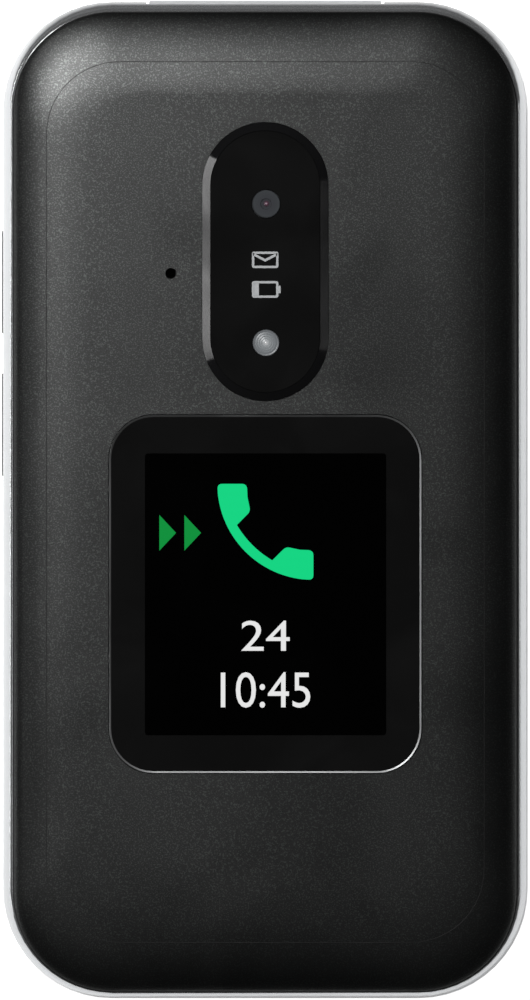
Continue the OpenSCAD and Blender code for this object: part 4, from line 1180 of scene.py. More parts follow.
    def _screw_heads(self) -> Tree:
        """Crosshead screws seen from their head, one at each point of the input.

        Returns:
            The tree.
        """
        tree, nodes, inputs, out = new_group("crosshead_screws", "GeometryNodeTree", {
            "Points": ("NodeSocketGeometry", None), "Head": ("NodeSocketFloat", 0.00135),
            "Head Height": ("NodeSocketFloat", 0.0008), "Shank": ("NodeSocketFloat", 0.0007),
            "Screw Length": ("NodeSocketFloat", 0.0052), "Material": ("NodeSocketMaterial", None)},
            {"Geometry": "NodeSocketGeometry"})
        head = nodes.add("GeometryNodeMeshCylinder", {"Vertices": self.head_sides,
                                                      "Radius": inputs["Head"],
                                                      "Depth": inputs["Head Height"]})
        half_head = nodes.math("MULTIPLY", inputs["Head Height"], 0.5)
        head_up = nodes.add("ShaderNodeCombineXYZ", {2: half_head})
        placed_head = self._moved(nodes, head.outputs["Mesh"], head_up.outputs[0])
        slot_long = nodes.math("MULTIPLY", inputs["Head"], self.recess_length)
        slot_wide = nodes.math("MULTIPLY", inputs["Head"], self.recess_width)
        cutters = nodes.add("GeometryNodeMeshBoolean", operation="DIFFERENCE")
        nodes.plug(placed_head, cutters, "Mesh 1")
        for sizes in ((slot_long, slot_wide), (slot_wide, slot_long)):
            size = nodes.add("ShaderNodeCombineXYZ", {0: sizes[0], 1: sizes[1],
                                                      2: inputs["Head Height"]})
            bar = nodes.add("GeometryNodeMeshCube", {"Size": size.outputs[0]})
            nodes.plug(bar.outputs["Mesh"], cutters, "Mesh 2")
        body_length = nodes.math("SUBTRACT", inputs["Screw Length"], inputs["Head Height"])
        shank = nodes.add("GeometryNodeMeshCylinder", {"Vertices": self.shank_sides,
                                                       "Radius": inputs["Shank"],
                                                       "Depth": body_length})
        middle = nodes.math("ADD", nodes.math("MULTIPLY", body_length, 0.5), inputs["Head Height"])
        shank_up = nodes.add("ShaderNodeCombineXYZ", {2: middle})
        placed_shank = self._moved(nodes, shank.outputs["Mesh"], shank_up.outputs[0])
        screw = nodes.add("GeometryNodeJoinGeometry")
        nodes.plug(cutters.outputs[0], screw, 0)
        nodes.plug(placed_shank, screw, 0)
        placed = self._repeated(nodes, inputs["Points"], screw.outputs[0])
        self._end(nodes, placed, inputs["Material"], out)
        return tree

    @staticmethod
    def _moved(nodes: Nodes, mesh: Socket, by: Socket) -> Socket:
        """Moves a mesh or a curve."""
        return nodes.add("GeometryNodeTransform", {"Geometry": mesh, "Translation": by}).outputs[0]

    @staticmethod
    def _repeated(nodes: Nodes, points: Socket, mesh: Socket) -> Socket:
        """Sets one mesh at each point."""
        placed = nodes.add("GeometryNodeInstanceOnPoints", {"Points": points, "Instance": mesh})
        return placed.outputs[0]

    @staticmethod
    def _end(nodes: Nodes, geometry: Socket, material: Socket, out: Node) -> None:
        """Ends a tree in real geometry with its material.

        Args:
            nodes: the tree's writer.
            geometry: what the tree made.
            material: its material.
            out: the tree's output node.
        """
        real = nodes.add("GeometryNodeRealizeInstances", {"Geometry": geometry})
        dressed = nodes.add("GeometryNodeSetMaterial", {"Geometry": real.outputs[0],
                                                        "Material": material})
        nodes.plug(dressed.outputs[0], out, "Geometry")

    def make(self, tree: Tree, name: str, material: Material,
             points: Sequence[Point] = (), **values: object) -> Piece:
        """Runs a tree and keeps its result as a plain mesh.

        Args:
            tree: one of this class's trees.
            name: the piece's name.
            material: its finish.
            points: points in millimetres that the tree works from.
            values: inputs by name, with spaces written as underscores; lengths in metres.

        Returns:
            The object, not yet on a body.
        """
        seed = bpy.data.meshes.new(name + "_seed")
        seed.from_pydata([Vector(p) * MM for p in points], [], [])
        obj = bpy.data.objects.new(name, seed)
        bpy.context.scene.collection.objects.link(obj)
        modifier = obj.modifiers.new("make", "NODES")
        modifier.node_group = tree
        sockets = {item.name: item.identifier for item in tree.interface.items_tree
                   if getattr(item, "in_out", "") == "INPUT"}
        for label, value in {**values, "Material": material}.items():
            modifier[sockets[label.replace("_", " ")]] = value
        bpy.context.view_layer.update()
        graph = bpy.context.evaluated_depsgraph_get()
        mesh = bpy.data.meshes.new_from_object(obj.evaluated_get(graph))
        obj.modifiers.remove(modifier)
        obj.data = mesh
        bpy.data.meshes.remove(seed)
        mesh.name = name
        if not mesh.materials:
            mesh.materials.append(material)
        return obj


# ---- Lid -----------------------------------------------------------------------------------------


@dataclass
class LidCover:
    """The dark cover of the lid: a crowned shell with openings in its flat."""

    finishes: Finishes
    generators: Generators
    edge: Plan = Plan(55.08, 107.26, 10.85, 0.0, -0.23)
    crease: Plan = Plan(47.96, 96.46, 8.0, 0.0, -0.23)
    plateau: Plan = Plan(36.0, 80.36, 6.0, 0.0, 4.32)
    seam_z: float = 16.75
    top_z: float = 19.3
    crown: float = 0.15
    crown_half_width: float = 18.0
    upright_edge: float = 0.6
    wall: float = 1.2
    corner_steps: int = 16
    side_steps: int = 12
    skin_steps: int = 40
    wall_steps: int = 8
    crown_strips: int = 12
    crease_share: float = 0.627
    sharp_from: float = 40.0
    window: Plan = Plan(34.4, 39.4, 5.0, 0.0, -10.3)
    window_ledge: float = 1.8
    window_floor_z: float = 18.5
    island: Plan = Plan(13.9, 30.6, 6.949, 0.0, 26.1)
    island_ledge: float = 0.8
    island_floor_z: float = 18.9
    microphone: Point = (-10.33, 24.8, 0.62)
    microphone_steps: int = 32
    # Seam bead: painted shadow of the gap between cover and frame. Crease bead: painted shade along
    # the crease.
    seam_shade_bead: float = 0.08
    seam_shade_out: float = 0.06
    seam_shade_drop: float = 0.02
    crease_shade_bead: float = 0.035

    def _eased(self, share: float, start: float, bend: float, end: float) -> float:
        """A value that runs smoothly outwards.

        Args:
            share: how far out, from 0 to 1.
            start: the value at the flat.
            bend: the value at the crease.
            end: the value at the edge.

        Returns:
            The value there.
        """
        if abs(end - start) < 1e-9:
            return start
        part = (bend - start) / (end - start)
        lean = (part - self.crease_share) / (self.crease_share * (1 - self.crease_share))
        return start + (end - start) * (share + lean * share * (1 - share))

    def plan_at(self, share: float) -> Plan:
        """The cover's plan from its flat (0) to its edge (1).

        Args:
            share: how far out, from 0 to 1.

        Returns:
            The plan of the ring there.
        """
        def sides(plan: Plan) -> tuple[float, float, float, float]:
            """Half width, hinge end, free end and radius of a plan."""
            return plan.width / 2, plan.y + plan.length / 2, plan.y - plan.length / 2, plan.radius

        half, top, bottom, radius = (self._eased(share, a, b, c) for a, b, c in
                                     zip(sides(self.plateau), sides(self.crease), sides(self.edge)))
        return Plan(2 * half, top - bottom, radius, 0.0, (top + bottom) / 2)

    def fullness(self, share: float) -> float:
        """Share of the cover's rise that is left at that share of the way out."""
        kept = self.upright_edge / (self.top_z - self.seam_z)
        return math.sqrt(1 - (1 - kept ** 2) * share ** 3)

    def height_at(self, share: float, x: float = 0.0) -> float:
        """Height of the crowned skin at that share and that far across."""
        rise = self.top_z - self.seam_z - self.crown * (x / self.crown_half_width) ** 2
        return self.seam_z + rise * self.fullness(share)

    def _ring(self, plan: Plan, z: float) -> list[Point]:
        """Points round a plan, as many for every ring of the shell."""
        return plan.ring(z, self.corner_steps, self.side_steps)

    def _skin(self, shape: Shape) -> list[Loop]:
        """Lays the crowned skin from the seam to the flat.

        Args:
            shape: the cover in the making.

        Returns:
            Its rings, lowest first.
        """
        steps = self.skin_steps
        quarter = math.pi / 2
        shares = [math.sin(quarter * (steps - i) / steps) ** (2 / 3) for i in range(steps)] + [0.0]
        rings = [shape.verts((x, y, self.height_at(s, x))
                             for x, y, _ in self._ring(self.plan_at(s), 0.0)) for s in shares]
        rings.insert(0, shape.verts(self._ring(self.edge, self.seam_z)))
        shape.stack(rings)
        return rings

    def _lining(self, shape: Shape) -> list[Loop]:
        """Lays the inner face of the shell's side, from the seam to the roof.

        Args:
            shape: the cover in the making.

        Returns:
            Its rings, lowest first.
        """
        rings = []
        edge, flat = self.edge.grown(-self.wall), self.crease.grown(-self.wall)
        pairs = ((edge.width, flat.width), (edge.length, flat.length), (edge.radius, flat.radius))
        for i in range(self.wall_steps + 1):
            angle = math.pi / 2 * i / self.wall_steps
            mixed = Plan(*(f + (e - f) * math.cos(angle) for e, f in pairs), 0.0, edge.y)
            rise = (self.top_z - self.wall - self.seam_z) * math.sin(angle)
            rings.append(shape.verts(self._ring(mixed, self.seam_z + rise)))
        shape.stack(rings, inwards=True)
        return rings

    def _openings(self, shape: Shape) -> tuple[list[Loop], list[Loop]]:
        """Lines the openings of the window, the camera island and the microphone.

        Args:
            shape: the cover in the making.

        Returns:
            The openings' outlines in the flat, and those in the roof under it.
        """
        roof_z = self.top_z - self.wall
        tops, roofs = [], []
        for hole, ledge, floor_z in ((self.window, self.window_ledge, self.window_floor_z),
                                     (self.island, self.island_ledge, self.island_floor_z)):
            inner = hole.grown(-ledge)
            levels = [shape.verts(ring) for ring in (hole.ring(self.top_z), hole.ring(floor_z),
                                                     inner.ring(floor_z), inner.ring(roof_z))]
            for upper, lower in zip(levels, levels[1:]):
                shape.band(list(reversed(lower)), list(reversed(upper)))
            tops.append(levels[0])
            roofs.append(levels[-1])
        x, y, radius = self.microphone
        mouth, throat = (shape.verts(circle(x, y, radius, z, self.microphone_steps))
                         for z in (self.top_z, roof_z))
        shape.band(list(reversed(throat)), list(reversed(mouth)))
        return [*tops, mouth], [*roofs, throat]

    def _crown_sheet(self, shape: Shape, loops: Sequence[Loop]) -> None:
        """Fills the cover's flat round its openings and bends it across.

        Args:
            shape: the cover in the making.
            loops: the flat's outline and the openings' outlines.
        """
        faces = shape.sheet_with_holes(loops, up=True)
        strips = self.crown_strips
        for step in range(1 - strips, strips):
            cut = self.crown_half_width * step / strips
            edges = {e for f in faces for e in f.edges}
            parts = set(faces) | edges | {v for f in faces for v in f.verts}
            made = bmesh.ops.bisect_plane(shape.bm, geom=list(parts), plane_co=(cut, 0, 0),
                                          plane_no=(1, 0, 0))
            faces = [g for g in made["geom"] if isinstance(g, bmesh.types.BMFace)]
        for vert in {v for f in faces for v in f.verts}:
            vert.co.z = self.height_at(0.0, vert.co.x)

    def build(self) -> None:
        """Builds the shell, a near-black bead in its seam as painted shadow of the seam's gap, and
        a dark line along its crease as painted shade.
        """
        shape = Shape()
        skin = self._skin(shape)
        lining = self._lining(shape)
        shape.band(lining[0], skin[0])
        tops, roofs = self._openings(shape)
        self._crown_sheet(shape, [skin[-1], *tops])
        shape.sheet_with_holes([lining[-1], *roofs], up=False)
        cover = shape.as_object("lid_cover_shell", self.finishes["cover"], self.sharp_from)
        settle(cover, Body.LID, Slot.COVER, "lid_cover")
        self._lines()

    def _lines(self) -> None:
        """Lays a near-black bead in the seam, a painted shadow of the gap there, and a fine dark
        line along the crease, painted shade.
        """
        drop = self.crown / self.crown_half_width ** 2 * self.fullness(self.crease_share)
        # Both beads are painted shade: dark lines where the seam's gap and the crease fall into
        # shade.
        beads = (("cover_seam_shade_line", "gasket", self.edge.grown(self.seam_shade_out),
                  self.seam_z - self.seam_shade_drop, self.seam_shade_bead, 0.0),
                 ("cover_crease_shade_line", "crease", self.crease,
                  self.height_at(self.crease_share), self.crease_shade_bead, drop))
        for name, finish, plan, z, bead, sag in beads:
            line = self.generators.make(self.generators.bead, name, self.finishes[finish],
                                        Width=plan.width * MM, Length=plan.length * MM,
                                        Corner=plan.radius * MM, Bead=bead * MM, Drop=sag / MM,
                                        Place=(plan.x * MM, plan.y * MM, z * MM))
            settle(line, Body.LID, Slot.COVER)


@dataclass
class CameraIsland:
    """The raised camera island: chamfered rim, black window, lenses and printed icons."""

    finishes: Finishes
    top_z: float = 20.1
    lens_recess: float = 0.05
    lens_depth: float = 0.5
    lens: Point = (0.08, 32.4, 1.55)
    lens_profile: tuple[Flat, ...] = ((0.62, 0.0), (0.56, 0.16), (0.3, 0.16), (0.22, 0.08),
                                      (0.08, 0.04), (0.01, 0.035))
    lens_bevel: float = 0.06
    flash: Point = (0.08, 17.2, 1.47)
    flash_foot_z: float = 15.2
    flash_bevel: float = 0.08
    flash_ribs: int = 5
    rib_height: float = 0.05
    icon_height: float = 0.012
    icon_line: float = 0.25
    icon_inset: float = 0.12
    envelope: Plan = Plan(2.9, 1.8, 0.25, -0.01, 26.29)
    flap_rise: float = 0.1
    battery: Plan = Plan(2.9, 1.83, 0.25, -0.01, 23.05)
    charge_width: float = 0.76
    nub: Flat = (0.25, 0.86)

    def build(self) -> None:
        """Dresses the island's nodes, turns its lenses and prints its icons."""
        for node, name, finish, slot in (
                ("camera_island", "island_body", "island", Slot.ISLAND),
                ("camera_window", "island_window", "glass", Slot.WINDOW)):
            smoothed_node(node, name, self.finishes[finish], Body.LID, slot)
        self._lenses()
        self._icons()

    def _lenses(self) -> None:
        """Turns the camera's cover lens and the ribbed flash lens."""
        x, y, radius = self.lens
        low, high = self.top_z - self.lens_depth, self.top_z - self.lens_recess
        bevel = self.lens_bevel
        profile = [(radius, low), (radius, high - bevel), (radius - bevel, high)]
        profile += [(r, high - depth) for r, depth in self.lens_profile]
        lens = Shape().lathe(x, y, profile)
        lens = lens.as_object("camera_cover_lens", self.finishes["camera_lens"])
        settle(lens, Body.LID, Slot.LENS, "camera_lens")
        x, y, radius = self.flash
        bevel = self.flash_bevel
        profile = [(radius, self.flash_foot_z), (radius, high - bevel), (radius - bevel, high)]
        for i in range(self.flash_ribs):
            r = (radius - 0.2) * (1 - (i + 0.5) / self.flash_ribs) + 0.05
            profile += [(r + 0.08, high), (r, high - self.rib_height)]
        profile += [(0.02, high - 0.01)]
        flash = Shape().lathe(x, y, profile)
        flash = flash.as_object("flash_cover_lens", self.finishes["flash_lens"])
        settle(flash, Body.LID, Slot.FLASH, "flash_lens")

    def _icons(self) -> None:
        """Prints an envelope and a battery between the lenses."""
        low, high = self.top_z - self.lens_recess, self.top_z + self.icon_height
        shape = Shape()
        for plan in (self.envelope, self.battery):
            inner = plan.grown(-self.icon_line)
            shape.loft([plan.ring(low, 6), plan.ring(high, 6), inner.ring(high, 6),
                        inner.ring(low, 6)], True)
        e, b, line, inset = self.envelope, self.battery, self.icon_line, self.icon_inset
        left, right = e.x - e.width / 2 + inset, e.x + e.width / 2 - inset
        top, tip, drop = e.y + e.length / 2 - inset, e.y + self.flap_rise, line * 1.2
        shape.prism([(left, top), (left, top - drop), (e.x, tip - drop), (right, top - drop),
                     (right, top), (e.x, tip)], low, high)
        start, charge = b.x - b.width / 2 + line * 0.9, b.x - b.width / 2 + self.charge_width
        foot, head = b.y - b.length / 2 + line * 0.9, b.y + b.length / 2 - line * 0.9
        shape.prism([(start, foot), (charge, foot), (charge, head), (start, head)], low, high)
        nub = Plan(*self.nub, 0.1, b.x + b.width / 2 + inset, b.y)
        shape.loft([nub.ring(low, 4), nub.ring(high, 4)])
        icons = shape.as_object("island_icons", self.finishes["grey_ink"])
        settle(icons, Body.LID, Slot.ISLAND)


@dataclass
class OuterDisplay:
    """The outer window with its metal trim, the dark display under it and its lit signs."""

    finishes: Finishes
    window: Plan = Plan(34.2, 39.2, 4.9, 0.0, -10.3)
    low_z: float = 18.5
    top_z: float = 19.42
    recess: float = 0.085
    trim: float = 0.2
    trim_depth: float = 0.28
    trim_round: float = 0.02
    trim_overlap: float = 0.004
    trim_sharp_from: float = 12.0
    active: Plan = Plan(26.42, 30.86, 0.35, 0.03, -10.33)
    sign_lift: float = 0.022
    sign_thickness: float = 0.02
    handset_place: Flat = (0.01, -3.49)
    handset_size: float = 10.52
    arrow_x: Flat = (-11.6, -8.86)
    arrow: tuple[Flat, Flat, Flat] = ((0.0, -5.55), (1.83, -3.6), (0.0, -1.64))
    digits_x: float = 0.03
    digits: tuple[tuple[str, str, float, float, float], ...] = (
        ("sign_digits_small", "24", -14.86, 3.3, 5.3),
        ("sign_digits_large", "10:45", -20.8, 3.9, 9.8),
    )

    def build(self) -> None:
        """Builds the window, the trim, the active area and the signs."""
        plan = self.window
        face_z = self.top_z - self.recess
        inner = plan.grown(-self.trim)
        rings = [plan.ring(self.low_z), plan.ring(self.top_z - 0.3), inner.ring(self.top_z - 0.25),
                 inner.ring(face_z)]
        glass = Shape().loft(rings).as_object("outer_window_glass", self.finishes["glass"])
        settle(glass, Body.LID, Slot.WINDOW, "outer_window")
        self._trim()
        levels = (face_z - 0.01, face_z + 0.006)
        panel = Shape().loft([self.active.ring(z, 6) for z in levels])
        panel = panel.as_object("outer_display_area", self.finishes["display"])
        settle(panel, Body.LID, Slot.DISPLAY)
        self._signs(face_z + self.sign_lift)

    def _trim(self) -> None:
        """Lays the thin metal trim round the window, sloping down to the glass."""
        plan, inner, top = self.window, self.window.grown(-self.trim), self.top_z
        rings = [plan.ring(top - self.trim_depth), plan.ring(top - self.trim_round),
                 plan.grown(-self.trim_round).ring(top),
                 inner.ring(top - self.recess + self.trim_overlap),
                 inner.ring(top - self.trim_depth)]
        trim = Shape().loft(rings, close=True)
        trim = trim.as_object("outer_window_trim", self.finishes["trim"], self.trim_sharp_from)
        settle(trim, Body.LID, Slot.WINDOW)

    def _signs(self, z: float) -> None:
        """Lights the handset, the two arrows and two lines of digits.

        Args:
            z: the height of their faces.
        """
        low = z - self.sign_thickness
        across, along = self.handset_place
        outline = [(x + across, y + along) for x, y in handset(self.handset_size)]
        call = Shape().prism(outline, low, z)
        settle(call.as_object("sign_handset", self.finishes["call_sign"]), Body.LID, Slot.DISPLAY)
        arrows = Shape()
        for start in self.arrow_x:
            arrows.prism([(start + x, y) for x, y in self.arrow], low, z)
        settle(arrows.as_object("sign_arrows", self.finishes["arrow_sign"]), Body.LID, Slot.DISPLAY)
        for name, text, y, height, width in self.digits:
            place = (self.digits_x, y, z)
            digits = letters(text, name, self.finishes["digits_sign"], place, height, width)
            settle(digits, Body.LID, Slot.DISPLAY)


@dataclass
class LidInside:
    """What the open lid shows: main window, display, its clock and the earpiece's mesh."""

    finishes: Finishes
    generators: Generators
    window: Plan = Plan(48.6, 76.0, 3.9, 0.0, -7.0)
    window_z: Flat = (10.75, 11.45)
    active: Plan = Plan(45.4, 60.4, 0.8, 0.0, -7.0)
    digits: tuple[tuple[str, str, float, float, float], ...] = (
        ("main_clock", "10:45", -14.0, 9.0, 30.0),
        ("main_date", "24.11", -3.0, 4.4, 15.0),
    )
    earpiece: Point = (0.0, -48.4, 12.05)
    earpiece_size: Flat = (13.2, 2.6)
    mesh_pitch: float = 0.32
    mesh_wire: float = 0.12

    def build(self) -> None:
        """Builds the main window with its switched-on clock, and the earpiece's mesh."""
        low, high = self.window_z
        plan = self.window
        rings = [plan.grown(-0.15).ring(low + 0.02), plan.ring(low + 0.17), plan.ring(high)]
        window = Shape().loft(rings).as_object("main_window_glass", self.finishes["glass"])
        settle(window, Body.LID, Slot.WINDOW, "main_display_window")
        panel = Shape().loft([self.active.ring(low + 0.012, 6), self.active.ring(low + 0.03, 6)])
        panel = panel.as_object("main_display_area", self.finishes["display"])
        settle(panel, Body.LID, Slot.DISPLAY)
        for name, text, y, height, width in self.digits:
            place = (0.0, y, low + 0.002)
            digits = letters(text, name, self.finishes["digits_sign"], place, height, width,
                             Facing.DOWN)
            settle(digits, Body.LID, Slot.DISPLAY)
        width, length = self.earpiece_size
        mesh = self.generators.make(self.generators.wire_mesh, "earpiece_mesh",
                                    self.finishes["mesh_wire"],
                                    Width=width * MM, Length=length * MM,
                                    Pitch=self.mesh_pitch * MM, Wire=self.mesh_wire * MM,
                                    Place=tuple(c * MM for c in self.earpiece))
        settle(mesh, Body.LID, Slot.BLACK)


# ---- Keys ----------------------------------------------------------------------------------------


@dataclass
class Keypad:
    """Number keys, function keys and their printed marks."""

    finishes: Finishes
    flange_z: float = 8.25
    flange_top: float = 8.75
    top_z: float = 10.35
    flange: float = 0.5
    radius: float = 2.4
    edge_round: float = 0.45
    edge_steps: int = 6
    corner_steps: int = 8
    hollow: tuple[Flat, ...] = ((1.2, 0.035), (2.3, 0.045))
    sharp_from: float = 50.0
    number: Flat = (15.4, 10.2)
    first_row_y: float = 5.0
    pitch: Flat = (17.0, 13.0)
    names: tuple[str, ...] = ("key_1", "key_2", "key_3", "key_4", "key_5", "key_6",
                              "key_7", "key_8", "key_9", "key_star", "key_0", "key_hash")
    marks: str = "123456789*0#"
    mark_height: float = 4.6
    star_height: float = 2.6
    side_x: float = 19.2
    side_width: float = 11.0
    function_keys: tuple[tuple[str, int, float, float], ...] = (
        ("left_soft_key", -1, 29.0, 7.5), ("right_soft_key", 1, 29.0, 7.5),
        ("call_key", -1, 18.5, 9.5), ("end_key", 1, 18.5, 9.5),
    )
    bar: Point = (4.6, 0.9, 0.44)
    handset_size: float = 4.4
    hung_up_turn: float = 135
    print_depth: float = 0.06
    print_recess: float = 0.002

    def build(self) -> None:
        """Builds each key and prints its mark."""
        for index, (name, mark) in enumerate(zip(self.names, self.marks)):
            row, column = divmod(index, 3)
            x, y = (column - 1) * self.pitch[0], self.first_row_y - row * self.pitch[1]
            self._key(name, Plan(*self.number, self.radius, x, y))
            height = self.star_height if mark == "*" else self.mark_height
            sign = letters(mark, name + "_mark", self.finishes["white_ink"],
                           (x, y, self.top_z - self.print_recess), height)
            settle(sign, name, Slot.KEY)
        for name, side, y, length in self.function_keys:
            x = side * self.side_x
            self._key(name, Plan(self.side_width, length, self.radius, x, y))
            self._function_mark(name, x, y)

    def _key(self, name: str, plan: Plan) -> None:
        """Builds a key: flange, straight side, rounded edge and a slightly hollow top.

        Args:
            name: the CAD node that it stands for, which is its body too.
            plan: the key's top, seen from above.
        """
        flange, steps = plan.grown(self.flange), self.corner_steps
        rings = [flange.ring(self.flange_z, steps), flange.ring(self.flange_top, steps),
                 plan.ring(self.flange_top, steps)]
        reach = self.edge_round
        for i in range(self.edge_steps + 1):
            angle = math.radians(90 * i / self.edge_steps)
            inset, drop = reach * (1 - math.cos(angle)), reach * (1 - math.sin(angle))
            rings.append(plan.grown(-inset).ring(self.top_z - drop, steps))
        rings += [plan.grown(-inset).ring(self.top_z - depth, steps)
                  for inset, depth in self.hollow]
        key = Shape().loft(rings).as_object(name + "_cap", self.finishes["key"], self.sharp_from)
        settle(key, name, Slot.KEY, name)

    def _function_mark(self, name: str, x: float, y: float) -> None:
        """Prints a handset on the call and end keys and a bar on the soft keys.

        Args:
            name: the key.
            x: its middle, across.
            y: its middle, along.
        """
        low, high = self.top_z - self.print_depth, self.top_z - self.print_recess
        shape = Shape()
        if name.endswith("soft_key"):
            bar = Plan(*self.bar, x, y)
            shape.loft([bar.ring(low, 5), bar.ring(high, 5)])
            finish = "white_ink"
        else:
            turn = math.radians(0 if name == "call_key" else self.hung_up_turn)
            points = [(px * math.cos(turn) - py * math.sin(turn) + x,
                       px * math.sin(turn) + py * math.cos(turn) + y)
                      for px, py in handset(self.handset_size)]
            shape.prism(points, low, high)
            finish = "green_ink" if name == "call_key" else "red_ink"
        settle(shape.as_object(name + "_mark", self.finishes[finish]), name, Slot.KEY)


@dataclass
class NavigationKeys:
    """The navigation ring with its four dots and the key in its middle."""

    finishes: Finishes
    generators: Generators
    y: float = 22.5
    outer: float = 9.3
    inner: float = 4.3
    top_z: float = 10.2
    flange: float = 0.7
    flange_z: Flat = (8.05, 8.35)
    pad_room: float = 7.8
    under_z: float = 8.3
    ring_steps: int = 96
    dot_circle: float = 6.9
    dot: float = 0.35
    dot_thickness: float = 0.04
    ok_top_z: float = 10.35
    mark: Flat = (0.8, 1.0)
    mark_steps: int = 40

    def build(self) -> None:
        """Turns the ring and the middle key and sets the dots."""
        (low, shoulder), under, pad_room = self.flange_z, self.under_z, self.pad_room
        outer, inner, top = self.outer, self.inner, self.top_z
        flange = outer + self.flange
        profile = [(pad_room, low), (flange, low), (flange, shoulder), (outer, shoulder),
                   (outer, top - 0.3), (outer - 0.09, top - 0.09), (outer - 0.3, top),
                   (outer - 1.6, top - 0.09), (inner + 1.4, top - 0.13), (inner + 0.25, top - 0.06),
                   (inner + 0.05, top - 0.14), (inner, top - 0.3), (inner, under),
                   (pad_room, under)]
        ring = Shape().lathe(0.0, self.y, profile, self.ring_steps, close=True)
        ring = ring.as_object("nav_ring_turned", self.finishes["satin"])
        settle(ring, Body.NAV_RING, Slot.SATIN, "nav_ring")
        dots = self.generators.make(self.generators.circle_of_dots, "nav_ring_dots",
                                    self.finishes["key"], Count=4, Radius=self.dot_circle * MM,
                                    Dot=self.dot * MM, Thickness=self.dot_thickness * MM,
                                    Place=(0.0, self.y * MM, (top - 0.1) * MM))
        settle(dots, Body.NAV_RING, Slot.KEY)
        self._middle_key()

    def _middle_key(self) -> None:
        """Turns the middle key and prints the circle on it."""
        top = self.ok_top_z
        profile = [(4.45, 7.75), (4.45, 8.0), (4.0, 8.0), (4.0, top - 0.3), (3.91, top - 0.09),
                   (3.7, top), (2.4, top - 0.07), (1.0, top - 0.1), (0.02, top - 0.105)]
        key = Shape().lathe(0.0, self.y, profile)
        settle(key.as_object("ok_key_cap", self.finishes["key"]), Body.OK_KEY, Slot.KEY, "ok_key")
        low, high = top - 0.13, top - 0.08
        inside, outside = self.mark
        mark = Shape().lathe(0.0, self.y, [(outside, low), (outside, high), (inside, high),
                                           (inside, low)], self.mark_steps, close=True)
        settle(mark.as_object("ok_key_mark", self.finishes["white_ink"]), Body.OK_KEY, Slot.KEY)


# ---- Base ----------------------------------------------------------------------------------------


